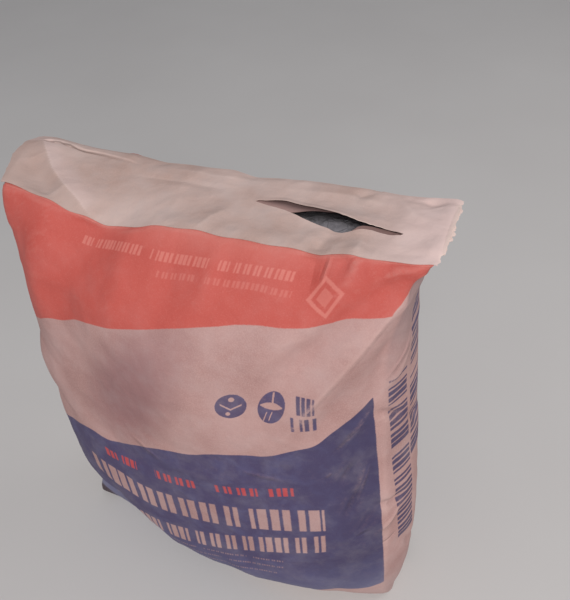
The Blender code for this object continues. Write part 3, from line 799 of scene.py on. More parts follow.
def makePatch(tree, paint):
    piece, s, t = addSheet("topCoverPatch", patch["columns"], patch["rows"])
    half = bag["endLength"] / 2
    x = (s * 2 - 1) * (half + patch["overhang"])
    inside = np.clip(1 - (x / half) ** 2, 0, 1)
    front = -bag["topDepth"] / 2 - bag["bow"] * inside + patch["margin"]
    back = np.full_like(x, bag["topDepth"] / 2 - patch["margin"] / 2)
    front += 0.0006 * np.sin(x * 160) + 0.0005 * np.sin(x * 67 + 1)
    back += 0.0006 * np.sin(x * 140 + 2)
    reach = upAndDown(x, 0.0, 0.040, 0.172, 0.195)
    middle = (front + back) / 2 * (1 - reach) + slitLine(x) * reach
    y = np.where(t < 0.5, front + (middle - front) * t * 2, middle + (back - middle) * (t * 2 - 1))
    rows = np.rint(t * patch["rows"]).astype(int)
    atEnd = smoothStep(np.abs(x), half - 0.020, half + patch["overhang"])
    reach = np.where(x < 0, tableAt(t, patch["leftEnd"]), tableAt(t, patch["rightEnd"]))
    x = x + np.sign(x) * (reach - patch["overhang"]) * atEnd
    x = x + skewX(x, y)
    setPlaces(piece, np.column_stack([x, y + bag["lean"], np.full_like(x, 0.5)]))
    setMap(piece, x, 0.65 + y + bag["topDepth"] / 2)
    middleRow = rows == patch["rows"] // 2
    torn = opened(piece, middleRow, sack["slitLeft"][0], slit["patchFront"], slit["patchBack"])
    spots = places(piece)
    u, _ = getMap(piece)
    x, y = spots[:, 0], spots[:, 1] - bag["lean"]
    form, worn = endForm(x, y)
    right = smoothStep(u, half - 0.006, half + patch["overhang"])
    flat = spots * [1, 1, 0]
    jag = patch["tear"][0] * grain(flat, 0.005, 11, 4) + patch["tear"][1] * grain(flat, 0.016, 13, 3)
    left = smoothStep(-u, half - 0.006, half + patch["overhang"])
    spots[:, 0] += right * jag + left * 0.3 * jag
    frayed = upAndDown(x, 0.112, 0.125, 0.150, 0.160)
    frayedEnd = smoothStep(u, half + 0.0012, half + patch["overhang"] - 0.001)
    torn = np.maximum(torn * (0.15 + 0.85 * frayed), frayedEnd)
    torn = np.where((right == 0) & (y < slitLine(x) + 0.0005), 0, torn)  # it shows on the back edge only
    spots[:, 1] += torn * (1 - right) * 0.0005 * grain(spots, 0.0016, 4, 2)
    climb = patch["sleeveLift"] * smoothStep(x, 0.150, 0.170) * (1 - smoothStep(np.abs(y), 0.028, 0.038))
    rim = skewX(np.full_like(y, -half), y) - half
    over = np.maximum(np.maximum(rim - spots[:, 0], spots[:, 0] - half), 0)  # how far past the folds
    climb -= patch["droop"] * over + 0.25 * right * over
    onEnd = np.clip(spots[:, 0], rim + 0.0008, half - 0.0008)
    curl = torn * (1 - right) * 0.0007
    cornerX, cornerY, rise, radius = patch["corner"]
    curl += rise * np.exp(-((np.hypot(x - cornerX, y - cornerY) / radius) ** 2))
    share = (x - sack["slitLeft"][0]) / (sack["slitRight"][0] - sack["slitLeft"][0])
    behind = y - slitLine(x) - tableAt(share, slit["patchBack"])
    near = (behind > -0.0006) * (1 - smoothStep(behind, 0, 0.007))
    curl += patch["lipRise"] * near * np.sin(np.pi * np.clip(share, 0, 1)) ** 0.5
    spots[:, 2] = heightOn(tree, onEnd, spots[:, 1]) + form + patch["gap"] + climb + curl
    setPlaces(piece, spots)
    setValue(piece, "torn", torn)
    setValue(piece, "worn", worn)
    setValue(piece, "ridge", bend(piece) * 1000)
    fold = y - tableAt(x * 1000, endFolds[0][0])  # the end turns to the light across this fold; painted as a darker facet left of it and a lighter strip just right of it
    turned = upAndDown(fold, -0.0006, 0.0006, 0.006, 0.030) - 0.7 * (fold < 0)
    setValue(piece, "facet", turned * (1 - smoothStep(x, -0.118, -0.096)))
    applied(piece, "SOLIDIFY", thickness=patch["paper"], offset=1.0)
    piece.data.materials.append(paint)
    smoothed(piece)
    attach(piece, "root")
    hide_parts("top_cover_patch")
    print("Top patch: laid and slit")


# The cement

cement = {
    "columns": 400,
    "rows": 70,
    "fill": 0.436,
    "crown": 0.008,
    "inset": 0.0022,
    "clear": 0.0028,
    "heap": (0.116, -0.002, 0.017, 0.052, 0.030),  # x, y, height, and its two radii
}


def makeCement(tree, paint):
    # A wall just inside the sack's, with a sheet stretched over each end of it
    wall, s, t = addSheet("cementFill", cement["columns"], cement["rows"])
    u = (s - 0.5) * bag["girth"]
    made = []
    for spot, share in zip(onWall(u, cement["fill"] * t), t):
        level = max(spot[2], bag["base"] + cement["inset"])
        centre = Vector((0, bag["lean"] * share * 0.9, level))
        out = Vector((spot[0], spot[1], level)) - centre
        hit = tree.ray_cast(centre, out.normalized())[0]
        reach = (hit - centre).length if hit else out.length
        made.append(centre + out.normalized() * (min(reach, out.length) - cement["inset"]))
    spots = np.array(made)
    setPlaces(wall, spots)

    def end(name, level):
        sheet, a, b = addSheet(name, 160, 40)
        atLevel = np.abs(t - level) < 1e-6
        ring = spots[atLevel][np.argsort(u[atLevel])][:-1]

        def edge(place):
            return ring[np.mod(np.rint((place + 0.5) * cement["columns"]).astype(int), cement["columns"])]

        return sheet, a, b, stretched(a, b, edge)

    top, a, b, body = end("cementTop", 1)
    inside = np.minimum(1, 12 * a * (1 - a)) * np.minimum(1, 6 * b * (1 - b))
    heapX, heapY, rise, wide, deep = cement["heap"]
    heap = np.exp(-(((body[:, 0] - heapX) / wide) ** 2 + ((body[:, 1] - bag["lean"] - heapY) / deep) ** 2))
    lumps = grain(body, 0.012, 8, 4) * 0.0011
    cracks = crumple(body, 0.011, 6)
    cut = -0.0022 * np.exp(-((cracks / 0.055) ** 2)) * (grain(body, 0.02, 12, 2) > -0.15)
    crown = cement["crown"] * np.sin(np.pi * a) * np.sin(np.pi * b)
    body[:, 2] += inside * (crown + rise * heap + lumps + cut)
    under = heightOn(tree, body[:, 0], body[:, 1]) + endForm(body[:, 0], body[:, 1] - bag["lean"])[0]
    body[:, 2] = np.minimum(body[:, 2], under - cement["clear"])
    setPlaces(top, body)
    bottom, a, b, body = end("cementBase", 0)
    setPlaces(bottom, body)
    piece = joined(wall, top, bottom)
    weld(piece)
    piece.data.materials.append(paint)
    smoothed(piece)
    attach(piece, "root")
    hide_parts("cement_fill")
    print("Cement: filled in")


# Materials

class Wire:  # one shader socket, on which Python's operators add Math nodes
    def __init__(self, tree, socket=None):
        self.tree = tree
        self.socket = socket

    def make(self, kind, settings=None, inputs=None, take=0):
        made = self.tree.nodes.new(kind)
        for name, value in (settings or {}).items():
            if name == "stops":
                ramp = made.color_ramp.elements
                while len(ramp) < len(value):
                    ramp.new(0.5)
                for stop, (place, colour) in zip(ramp, value):
                    stop.position = place
                    stop.color = (*colour, 1)
            elif name == "points":
                curve = made.mapping.curves[0].points
                while len(curve) < len(value):
                    curve.new(0.5, 0.5)
                for point, place in zip(curve, value):
                    point.location = place
                made.mapping.update()
            else:
                setattr(made, name, value)
        for name, value in (inputs or {}).items():
            if isinstance(value, Wire):
                self.tree.links.new(value.socket, made.inputs[name])
            else:
                made.inputs[name].default_value = value
        return Wire(self.tree, made.outputs[take])

    def math(self, mode, first, second=0.0, third=0.0):
        return self.make("ShaderNodeMath", {"operation": mode}, {0: first, 1: second, 2: third})

    def __add__(self, other):
        return self.math("ADD", self, other)

    def __sub__(self, other):
        return self.math("SUBTRACT", self, other)

    def __rsub__(self, other):
        return self.math("SUBTRACT", other, self)

    def __mul__(self, other):
        return self.math("MULTIPLY", self, other)

    def __truediv__(self, other):
        return self.math("DIVIDE", self, other)

    def __abs__(self):
        return self.math("ABSOLUTE", self)

    __radd__ = __add__
    __rmul__ = __mul__

    def smaller(self, other):
        return self.math("MINIMUM", self, other)

    def larger(self, other):
        return self.math("MAXIMUM", self, other)

    def ramp(self, low, high, start=0.0, end=1.0):  # a clamped straight ramp
        return self.make(
            "ShaderNodeMapRange", {"clamp": True},
            {"Value": self, "From Min": low, "From Max": high, "To Min": start, "To Max": end},
        )

    def above(self, soft=0.0005):  # 1 above 0, with a soft edge
        return self.ramp(-soft, soft)

    def within(self, low, high, soft):  # 1 between two values, with soft edges
        return self.ramp(low - soft, low + soft) * self.ramp(high + soft, high - soft)

    def mix(self, first, second):  # this wire is the factor between two colours
        return self.make(
            "ShaderNodeMix", {"data_type": "RGBA", "clamp_factor": True}, {0: self, 6: first, 7: second}, 2
        )

    def noise(self, size, detail=3.0, roughness=0.5, warp=0.0):  # this wire is the place
        return self.make(
            "ShaderNodeTexNoise", None,
            {"Vector": self, "Scale": 1 / size, "Detail": detail, "Roughness": roughness, "Distortion": warp},
        )

    def cells(self, size, feature="F1"):
        return self.make("ShaderNodeTexVoronoi", {"feature": feature}, {"Vector": self, "Scale": 1 / size})

    def xyz(self):  # the three numbers of this vector
        apart = self.make("ShaderNodeSeparateXYZ", None, {0: self}).socket.node
        return [Wire(self.tree, output) for output in apart.outputs]

    def attribute(self, name):
        return self.make("ShaderNodeAttribute", {"attribute_name": name}, None, "Fac")


def linear(red, green, blue):
    # A screen colour of 0 to 255, as the shader wants it
    parts = [part / 255 for part in (red, green, blue)]
    return tuple(p / 12.92 if p < 0.04045 else ((p + 0.055) / 1.055) ** 2.4 for p in parts) + (1.0,)


def startMaterial(name):
    made = bpy.data.materials.new(name)
    made.use_nodes = True
    made.node_tree.nodes["Principled BSDF"].inputs["Metallic"].default_value = 0.0
    wire = Wire(made.node_tree)
    return made, wire, wire.make("ShaderNodeTexCoord", None, None, "Object")


def finishMaterial(made, colour, roughness, bump=None, strength=1.0, distance=0.001):
    shader = made.node_tree.nodes["Principled BSDF"]
    links = made.node_tree.links
    links.new(colour.socket, shader.inputs["Base Color"])
    links.new(roughness.socket, shader.inputs["Roughness"])
    if bump is not None:
        inputs = {"Height": bump, "Strength": strength, "Distance": distance}
        normal = bump.make("ShaderNodeBump", None, inputs)
        links.new(normal.socket, shader.inputs["Normal"])
    return made


tones = {
    "kraft": (192, 154, 149),
    "kraftDark": (172, 132, 127),
    "kraftLight": (212, 178, 170),
    "patch": (203, 181, 173),
    "patchDark": (180, 154, 144),
    "patchPale": (230, 206, 202),
    "torn": (226, 204, 194),
    "orange": (200, 88, 77),
    "orangeDark": (190, 81, 71),
    "orangePale": (222, 138, 126),
    "navy": (66, 60, 100),
    "navyPale": (98, 104, 146),
    "red": (198, 72, 72),
    "dust": (178, 172, 172),
    "navyDark": (46, 44, 82),
    # the sack's end under the patch, its kraft darkened by painted shade, and the deepest painted shadows
    "innerPly": (150, 122, 116),
    "innerPlyDark": (50, 32, 30),
    # painted shade for the bottom end's corner at the left
    "foot": (60, 30, 30),
    "cement": (142, 140, 146),
    "cementDark": (98, 96, 102),
    # painted shade for the valley on the left of the front
    "stain": (141, 99, 102),
    "sideShade": (129, 112, 115),
}
tone = {name: linear(*colour) for name, colour in tones.items()}


def paperGrain(place):
    # Fibres, cloudy pulp, soft dents, and the shallow facets that handling leaves
    fibre = place.noise(0.0011, 4.0, 0.65)
    cloud = place.noise(0.060, 3.0, 0.5)
    dents = place.noise(0.016, 3.0, 0.55, 0.4)
    facets = place.cells(0.024, "F1").smaller(0.75)
    return fibre, cloud, dents, facets


def creaseLine(u, v, start, end, width):
    # 1 along a short straight crease on the paper, fading to its ends and sides
    spanU, spanV = end[0] - start[0], end[1] - start[1]
    square = spanU * spanU + spanV * spanV
    length = math.sqrt(square)
    awayU, awayV = u - start[0], v - start[1]
    run = awayU * (spanU / square) + awayV * (spanV / square)
    off = abs(awayV * (spanU / length) - awayU * (spanV / length))
    return off.ramp(width, 0.0) * run.ramp(0.0, 0.3) * run.ramp(1.0, 0.7)


# Fine creases that bend the light and wear the ink along the raised ones, with painted shade in the valleys
# on the navy ink: start, end, width, and 1 up or -1 down
fineCreases = [
    ((193, 322), (226, 298), 4, -1),
    ((198, 352), (236, 384), 3.2, 1),
    ((190, 203), (222, 194), 4, -1),
    ((190, 160), (219, 184), 3.6, 1),
    ((192, 140), (214, 146), 2.6, -1),
    ((174, 314), (152, 292), 3.4, -1),
    ((172, 274), (157, 250), 3.4, -1),
    ((176, 240), (158, 200), 4, -1),
    ((186, 262), (170, 214), 3, 1),
    ((150, 268), (142, 262), 2.6, 1),
    ((185, 170), (168, 166), 2.8, -1),
    ((110, 506), (117, 470), 5, -1),
    ((122, 504), (124, 474), 3, 1),
    ((195, 444), (150, 380), 5, 1),
    ((160, 395), (118, 335), 4.5, 1),
    ((-60, 270), (-24, 250), 5, 1),
    ((60, 272), (104, 262), 4, 1),
]


def creaseRelief(u, v, listed):
    # The height of the fine creases, and how near the raised ones run
    height = rubbed = None
    for start, end, width, way in listed:
        start, end = np.array(start) / 1000, np.array(end) / 1000
        line = creaseLine(u, v, start.tolist(), end.tolist(), width / 1000)
        height = line * way if height is None else height + line * way
        if way > 0:
            rubbed = line if rubbed is None else rubbed.larger(line)
    return height, rubbed


printing = {
    "orangeEdge": [(-200, 325), (-158, 351), (-139, 366), (-120, 374), (-97, 389), (-55, 407), (-9, 424),
        (45, 438), (75, 443), (107, 441), (142, 439), (195, 436)],
    "navyEdge": [(-200, 190), (-162, 209), (-126, 227), (-94, 233), (-58, 253), (-36, 265), (-17, 273),
        (18, 283), (35, 290), (65, 294), (94, 297), (109, 302), (123, 305), (136, 307), (150, 317),
        (164, 326), (177, 333), (191, 342)],
    "navyFoot": [(-100, 0), (0, 30), (100, 55), (164, 61), (177, 57.6), (186, 55.5), (196, 57.6)],
    "sideEdge": [(0, 201), (55.7, 201), (85.4, 199.9), (150.7, 195.7), (206, 194.7), (253.3, 193.7),
        (300.8, 191.5), (338.7, 189.6), (437.4, 188.2), (446, 193.6), (451.6, 197), (459.1, 200.5),
        (510, 200.5)],
    # The lower edges of the rows of bars
    "firstRow": [(-105, 465.5), (-73.7, 474.2), (-47.3, 479), (-20, 481.5), (23, 485), (47, 484.8),
        (86.5, 482.2), (103, 480)],
    "secondRow": [(-14, 468.5), (18.5, 472.2), (54, 472.7), (80, 471), (105, 466.4)],
    "bigRow": [(-145, 145.5), (-133.5, 146.8), (-59, 155.4), (-16, 166.5), (45, 178), (87, 184.4),
        (113.7, 185.6), (139, 184.8)],
    "lowRow": [(-170, 60), (-100, 85), (-30, 110), (23.4, 127.6), (60.3, 138.9), (93.2, 145.7),
        (136, 150.6)],
    "redRow": [(-110, 201.5), (-68.9, 210), (-39.3, 216), (2, 224.2), (30, 230), (72.5, 234.5),
        (110.3, 239.3)],
    "thinRows": [(-100, 66), (-37, 95), (33, 118.5), (92, 126.5)],
}


def edgeCurve(place, points, low=-0.25, high=0.25, tall=0.6):
    # An edge as a curve through a few points, from a place between low and high
    flat = [(low * 1000, points[0][1])] + points + [(high * 1000, points[-1][1])]
    stops = [((a / 1000 - low) / (high - low), b / 1000 / tall) for a, b in flat]
    return place.make("ShaderNodeFloatCurve", {"points": stops}, {"Value": place.ramp(low, high)}) * tall


# Rows of plain bars: the curve at their feet and how far below it they stand, then their words'
# starts and ends, their height and pitch, a seed, and how soft their edges are
bars = {
    "first": ("firstRow", 0, [(-104, -34), (-24, 30), (39, 103)], 8.5, 8.8, 3, 0.5),
    "second": ("secondRow", 0, [(-14, 22), (32, 104)], 5.6, 8, 21, 0.5),
    "big": ("bigRow", 0, [(-143, 139)], 32.5, 26.5, 5, 0.6),
    "low": ("lowRow", 0, [(-160, 139)], 27, 19.5, 13, 0.6),
    "red": ("redRow", 0, [(-110, -66), (-41.5, 6.6), (30, 74.9), (85.4, 111.6)], 12, 14, 17, 0.5),
    "thin": ("thinRows", 0, [(-75, -12), (-4, 50), (58, 92)], 2.8, 6, 8, 0.4),
    "thinner": ("thinRows", 12, [(-65, 18), (26, 92)], 2.8, 5.6, 30, 0.4),
    "thinnest": ("thinRows", 25, [(-30, 85)], 2.6, 5.6, 37, 0.4),
}


def barRow(along, rise, words, height, pitch, seed, soft=0.5):
    # Words of plain upright bars, two of uneven width to each step of the pitch.
    # Rise is the height above the foot of the row, and each word is a start and an end.
    height, pitch, soft = height / 1000, pitch / 1000, soft / 1000
    words = [(start / 1000, end / 1000) for start, end in words]
    step = (along - words[0][0]) / pitch
    cell = step.math("FLOOR", step)
    share = step - cell
    chance = along.make("ShaderNodeTexWhiteNoise", {"noise_dimensions": "1D"}, {"W": cell + seed})
    edge = soft / pitch
    first = share.ramp(0.06 - edge, 0.06 + edge) * (0.24 + 0.24 * chance - share).above(edge)
    second = (share - (0.76 - 0.22 * chance)).above(edge) * share.ramp(0.92 + edge, 0.92 - edge)
    inWords = None
    for start, end in words:
        word = along.within(start, end, soft)
        inWords = word if inWords is None else inWords.larger(word)
    return first.larger(second) * inWords * rise.within(0.0, height, soft)


def far(x, y):  # how far a place is from the middle
    return x.math("SQRT", x * x + y * y)


def disc(u, v, centre, wide, tall):
    # Distance from a disc's middle, 1 at its rim, and the place in it
    x = (u - centre[0]) / (wide / 2)
    y = (v - centre[1]) / (tall / 2)
    return far(x, y), x, y


def lozengeSign(u, v):
    _, x, y = disc(u + (v - 0.4643) * 0.315, v, (0.131, 0.4643), 0.029, 0.0385)
    away = abs(x) + abs(y)
    return away.within(0.74, 1.0, 0.05).larger(away.ramp(0.50, 0.42) * 0.7)


def dotsSign(u, v):  # a disc that leaves out a chevron and two dots
    away, x, y = disc(u - (v - 0.359) * 0.15, v - (u - 0.0653) * 0.045, (0.0653, 0.359), 0.0285, 0.0294)
    chevron = (y + 0.28 - abs(x) * 0.63).within(-0.055, 0.075, 0.03) * abs(x).ramp(0.70, 0.64)
    dots = far(x, y - 0.56).ramp(0.21, 0.16).larger(far(x + 0.15, y + 0.62).ramp(0.17, 0.12))
    return away.ramp(1.0, 0.96) - chevron.larger(dots)


def umbrellaSign(u, v):  # a disc that leaves out an umbrella and drops
    away, x, y = disc(u - (v - 0.3585) * 0.107, v - (u - 0.1008) * 0.10, (0.1008, 0.3585), 0.0243, 0.0370)
    canopy = (0.22 - x * x * 0.30 - abs(y - 0.10 + x * 0.17)).above(0.03) * abs(x).ramp(0.84, 0.78)
    handle = abs(x - 0.08).ramp(0.080, 0.05) * y.within(0.20, 0.92, 0.03)
    slant = (x - y * 0.40) * 2.6
    drops = slant.math("PINGPONG", slant, 0.5).ramp(0.36, 0.42) * y.within(-0.80, -0.26, 0.04)
    drops = drops * x.within(-0.62, 0.20, 0.04)
    return away.ramp(1.0, 0.96) - canopy.larger(handle).larger(drops)


def painted(ground, *layers):
    # Lays colours over a ground, one after another, each by its own factor
    made = tone.get(ground, ground)
    for factor, paint in layers:
        made = factor.mix(made, tone.get(paint, paint))
    return made


def printedKraft():
    made, wire, place = startMaterial("printed kraft paper")
    around, v, _ = wire.make("ShaderNodeUVMap", {"uv_map": "UVMap"}).xyz()
    fibre, cloud, dents, facets = paperGrain(place)
    relief, rubbedLine = creaseRelief(around, v, fineCreases)
    blur = (place.noise(0.0016, 2.0) - 0.5) * 0.0009 + (place.noise(0.012, 2.0) - 0.5) * 0.0008
    u = around.math("WRAP", around, 0.25, -0.25) + blur
    v = v + blur
    side = around.math("WRAP", around - 0.25, 0.25, -0.25) + blur
    sideEdge = edgeCurve(v, printing["sideEdge"], -0.02, 0.53, 0.25).larger(u.ramp(0.0, -0.01) * 0.2005)
    onFace = (sideEdge - abs(u)).above()
    overFold = v.within(0.645, 0.660, 0.001).larger(v.ramp(0.730, 0.732))
    orange = (v - edgeCurve(u, printing["orangeEdge"])).above() * onFace
    orange = orange * v.ramp(0.601, 0.600).larger(overFold)
    navy = (edgeCurve(u, printing["navyEdge"]) - v).above() * onFace
    navy = navy * (v - edgeCurve(u, printing["navyFoot"])).above()

    # Plain bars and signs, where the lettering was
    def row(name):
        foot, drop, *rest = bars[name]
        return barRow(u, v - edgeCurve(u, printing[foot]) + drop / 1000, *rest)

    pale = row("first").larger(row("second") * 0.6).larger(lozengeSign(u, v))
    onNavy = row("big").larger(row("low"))
    thin = row("thin").larger(row("thinner")).larger(row("thinnest"))
    dark = dotsSign(u, v).larger(umbrellaSign(u, v))
    for along, rise, *rest in (
        (u, v - (0.3522 - (u - 0.1218) * 0.2), [(121.8, 137.5)], 20.3, 8.8, 2),
        (u, v - (0.3323 - (u - 0.1163) * 0.25), [(116.3, 139)], 17.5, 11.8, 41),
        (v, side + (v - 0.128) * 0.061 + 0.033, [(128, 252), (264, 352)], 27, 15, 6),
        (v, side + 0.0105, [(232, 330), (344, 440)], 33, 16.5, 15),
    ):
        dark = dark.larger(barRow(along, rise, *rest))

    # The ink wears off along creases and in patches
    ridge, worn = wire.attribute("ridge"), wire.attribute("worn")
    rubbed = place.noise(0.012, 5.0, 0.7).ramp(0.56, 0.80)
    lines = (ridge.ramp(0.06, 0.50) * 0.45 + worn * 0.5).larger(rubbedLine * 0.7)
    scuff = (rubbed * 0.30 + lines) * place.noise(0.003, 4.0, 0.7).ramp(0.34, 0.60)
    keep = 1 - scuff.smaller(0.75)

    # Painted shade: a broad darker patch on the left middle of the front, where the paper turns away from the
    # light in a valley
    stain = disc(u - (v - 0.335) * 0.5, v, (-0.042, 0.340), 0.120, 0.240)[0].ramp(1.0, 0.35)
    ground = painted(
        "kraftDark",
        (cloud.ramp(0.34, 0.66), "kraft"),
        (fibre.ramp(0.42, 0.75) * 0.45, "kraftLight"),
        (ridge.ramp(0.02, 0.40) * 0.30, "kraftLight"),
        # painted shade in the hollows, where the paper lies below its neighbours
        (ridge.ramp(-0.05, -0.5) * 0.45, "kraftDark"),
        (stain * 0.65, "stain"),
        (abs(side).ramp(0.052, 0.046) * (v.ramp(0.34, 0.42) * 0.40 + 0.07), "sideShade"),
    )
    orangeInk = painted(
        "orangeDark",
        (cloud.ramp(0.3, 0.7), "orange"),
        (fibre.ramp(0.5, 0.8) * 0.28 + lines * 0.35, "orangePale"),
        (v.ramp(0.485, 0.512) * 0.35, "orangePale"),
    )
    # The navy ink: paler where dented, darker towards the right corner, paler towards the foot of the sack,
    # and painted shade in the valleys of the fine creases
    navyInk = painted(
        "navy",
        (dents.ramp(0.45, 0.80) * 0.35 + fibre.ramp(0.5, 0.8) * 0.16, "navyPale"),
        (u.ramp(0.10, 0.17) * 0.6, "navyDark"),
        (v.ramp(0.13, 0.03) * 0.75, "navyPale"),
        (relief * -0.7, "navyDark"),
    )
    # Painted shade on the sack's end under the patch, which shows through the slit: darker brown than the
    # kraft, darker still towards the back where the lifted lip shades it, and at its right part
    (startX, startY), (endX, endY) = sack["slitLeft"], sack["slitRight"]
    across, back, _ = place.xyz()
    behind = back - (across - startX) * ((endY - startY) / (endX - startX))
    ply = painted(
        "innerPly",
        ((behind - (startY + bag["lean"])).ramp(0.0010, 0.0075), "innerPlyDark"),
        (across.ramp(0.124, 0.134) * 0.5, "innerPlyDark"),
    )
    # dust in patches, and paler towards the foot of the sack
    dust = place.noise(0.030, 5.0, 0.65).ramp(0.45, 0.85) * 0.20 + v.ramp(0.10, 0.0) * 0.22
    colour = painted(
        ground,
        (orange * (0.97 - scuff * 0.2), orangeInk),
        (orange * pale * keep * 0.55, "orangePale"),
        (navy * (0.96 - scuff * 0.22), navyInk),
        (navy * onNavy * (0.92 - scuff * 0.3), ground),
        (navy * thin * keep * 0.5, ground),
        (navy * row("red") * keep * 0.9, "red"),
        (dark * (1 - orange) * (1 - navy) * keep * 0.90, navyInk),
        (dust.smaller(0.5) * (1 - orange * 0.6), "dust"),
        # painted shade: the bottom end's left corner, which sticks out below the pulled-in wall, dark as in
        # shadow
        (u.ramp(-0.165, -0.180) * v.ramp(0.026, 0.020) * 0.85, "foot"),
        # the sack's upper end under the patch, painted in shade
        (v.within(0.664, 0.728, 0.002) * 0.8, ply),
    )
    rough = (0.82 - orange * 0.14 - navy * 0.16) + fibre * 0.10
    bump = fibre * 0.10 + dents * 0.9 - facets * 0.45 + relief * 1.0
    return finishMaterial(made, colour, rough, bump, 0.7, 0.0016)


def plainKraft():
    made, wire, place = startMaterial("kraft paper")
    fibre, cloud, dents, facets = paperGrain(place)
    ridge, torn, worn, facet = (wire.attribute(name) for name in ("ridge", "torn", "worn", "facet"))
    across, back, _ = place.xyz()
    # Painted shadow: a thin dark line along the foot of the ledge, where the raised strip behind it shades
    # the paper
    line = edgeCurve(across, [(x, y + bag["lean"] * 1000) for x, y in ledge["line"]], tall=0.1)
    foot = abs(back - line).ramp(0.0010, 0.0003) * across.ramp(-0.206, -0.198) * across.ramp(-0.095, -0.150)
    colour = painted(
        "patchDark",
        (cloud.ramp(0.34, 0.66), "patch"),
        (fibre.ramp(0.42, 0.75) * 0.4, "kraftLight"),
        (ridge.ramp(0.02, 0.30) * 0.2 + worn * 0.12, "torn"),
        # painted shade in the hollows, where the paper lies below its neighbours
        (ridge.ramp(-0.03, -0.3) * 0.55, "patchDark"),
        (place.noise(0.022, 5.0, 0.65).ramp(0.42, 0.80) * 0.28, "dust"),
        # painted light and shade on the left of the end: a lighter strip and a darker facet either side of
        # its fold
        (facet.larger(0.0) * 0.35, "patchPale"),
        (facet * -0.40, "patchDark"),
        # paler towards the right end: worn paper, with a painted highlight
        (across.ramp(0.13, 0.19) * 0.6, "patchPale"),
        (foot * 0.5, "innerPlyDark"),
        (torn * 0.85, "torn"),
    )
    rough = 0.84 + fibre * 0.10
    bump = fibre * 0.10 + dents * 0.9 - facets * 0.45
    return finishMaterial(made, colour, rough, bump, 0.7, 0.0016)


def cementPowder():
    made, _, place = startMaterial("cement powder")
    lumps = place.noise(0.006, 6.0, 0.7)
    dustGrain = place.noise(0.0008, 3.0, 0.7)
    crack = place.cells(0.013, "DISTANCE_TO_EDGE").ramp(0.0, 0.05)
    colour = painted(
        "cementDark",
        (lumps.ramp(0.3, 0.7), "cement"),
        (dustGrain.ramp(0.4, 0.8) * 0.4, "dust"),
        ((1 - crack) * 0.35, "cementDark"),
    )
    rough = 0.90 + dustGrain * 0.08
    bump = lumps * 0.6 + dustGrain * 0.3 + crack * 0.5
    return finishMaterial(made, colour, rough, bump, 0.8, 0.001)


# The valve sleeve and the bottom patch

sleeve = {
    "length": 0.034,
    "ply": 0.00035,
    "overhang": 0.0045,
}


def makeSleeve(tree, paint):
    low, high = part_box("valve_sleeve")
    layers = []
    for index, lift in enumerate((0.0003, 0.0011)):
        sheet, s, t = addSheet("valveSleeve", 34, 40)
        x = low.x + (sleeve["length"] + sleeve["overhang"] - 0.003) * s
        y = low.y + (high.y - low.y) * t
        mouth = smoothStep(s, 0.8, 1.0)
        x = x + mouth * 0.0012 * grain(np.column_stack([x, y, x * 0 + index]), 0.004, 5 + index)
        z = heightOn(tree, np.minimum(x, 0.1992), y) + lift + endForm(x, y - bag["lean"])[0]
        z = z + index * 0.0010 * mouth * np.sin(np.pi * t) + 0.0002 * index
        edge = smoothStep(np.abs(2 * t - 1), 0.94, 1.0)
        z = z - index * 0.0004 * edge
        setPlaces(sheet, np.column_stack([x, y, z]))
        setValue(sheet, "torn", mouth**3)
        for name in ("worn", "ridge", "facet"):
            setValue(sheet, name, mouth * 0)
        applied(sheet, "SOLIDIFY", thickness=sleeve["ply"], offset=1.0)
        layers.append(sheet)
    piece = joined(*layers)
    piece.name = "valveSleeve"
    piece.data.materials.append(paint)
    smoothed(piece)
    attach(piece, "root")
    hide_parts("valve_sleeve")
    print("Valve sleeve: laid")


def makeBottomPatch(paint):
    low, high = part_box("bottom_cover_patch")
    piece, s, t = addSheet("bottomCoverPatch", 110, 28)
    x = low.x + (high.x - low.x) * s
    y = low.y + (high.y - low.y) * t
    y = y + 0.0008 * np.sin(x * 90) * (2 * t - 1) ** 4
    setPlaces(piece, np.column_stack([x, y, np.zeros_like(x)]))
    for name in ("torn", "worn", "ridge", "facet"):
        setValue(piece, name, np.zeros_like(x))
    applied(piece, "SOLIDIFY", thickness=0.0005, offset=1.0)
    piece.data.materials.append(paint)
    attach(piece, "root")
    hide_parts("bottom_cover_patch")
    print("Bottom patch: laid")


# Camera, light and floor

shot = {
    "frame": (570, 600),
    "turn": 24.7296,
    "rise": 42.2011,
    "roll": -4.4422,
    "spot": (0.2536, -0.3995, 0.7781),
    "focal": 664.21,  # in pixels of the frame
    "sensor": 36.0,
}


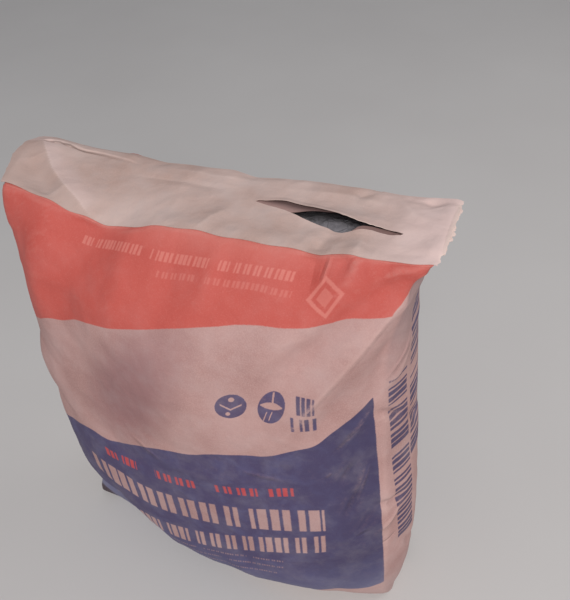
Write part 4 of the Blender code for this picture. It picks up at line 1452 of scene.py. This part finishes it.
def addCamera():
    turn, rise, roll = (math.radians(shot[name]) for name in ("turn", "rise", "roll"))
    back = Vector((math.sin(turn) * math.cos(rise), -math.cos(turn) * math.cos(rise), math.sin(rise)))
    right = Vector((0, 0, 1)).cross(back).normalized()
    up = back.cross(right)
    tilted = right * math.cos(roll) + up * math.sin(roll)
    upright = up * math.cos(roll) - right * math.sin(roll)
    bpy.ops.object.camera_add()
    camera = bpy.context.object
    turned = Matrix((tilted, upright, back)).transposed().to_4x4()
    camera.matrix_world = Matrix.Translation(Vector(shot["spot"])) @ turned
    camera.data.sensor_width = shot["sensor"]
    camera.data.lens = shot["focal"] * shot["sensor"] / max(shot["frame"])
    camera.data.clip_start = 0.01
    bpy.context.scene.camera = camera


def addLight(name, spot, target, size, power, colour):
    bpy.ops.object.light_add(type="AREA", location=spot)
    lamp = bpy.context.object
    lamp.name = name
    lamp.rotation_euler = (Vector(target) - Vector(spot)).to_track_quat("-Z", "Y").to_euler()
    lamp.data.shape = "RECTANGLE"
    lamp.data.size, lamp.data.size_y = size
    lamp.data.energy = power
    lamp.data.color = colour


def addFloor():
    bpy.ops.object.select_all(action="DESELECT")
    bpy.ops.mesh.primitive_plane_add(size=12)
    floor = bpy.context.object
    floor.name = "floor"
    made, _, place = startMaterial("pale floor")
    cloud = place.noise(0.5, 3.0)
    colour = cloud.mix(linear(196, 194, 192), linear(208, 207, 205))
    finishMaterial(made, colour, 0.7 + cloud * 0.1)
    floor.data.materials.append(made)


def addStudio():
    world = bpy.context.scene.world or bpy.data.worlds.new("studio")
    bpy.context.scene.world = world
    world.use_nodes = True
    world.node_tree.nodes["Background"].inputs["Color"].default_value = (0.84, 0.84, 0.88, 1)
    world.node_tree.nodes["Background"].inputs["Strength"].default_value = 0.40
    addLight("key", (1.066, -1.846, 2.35), (0, 0, 0.25), (1.1, 1.1), 60, (1.0, 0.965, 0.955))
    addLight("rim", (1.6, 1.2, 1.5), (0, 0, 0.3), (1.2, 1.2), 6, (1.0, 0.96, 0.94))


addCamera()
print("Camera: at the photograph's viewing angle")
printedPaint, plainPaint, powderPaint = printedKraft(), plainKraft(), cementPowder()
endTree = makeSack(printedPaint)
makePatch(endTree, plainPaint)
makeCement(endTree, powderPaint)
makeSleeve(endTree, plainPaint)
makeBottomPatch(plainPaint)
addFloor()
addStudio()
bpy.context.scene.view_settings.view_transform = "Standard"
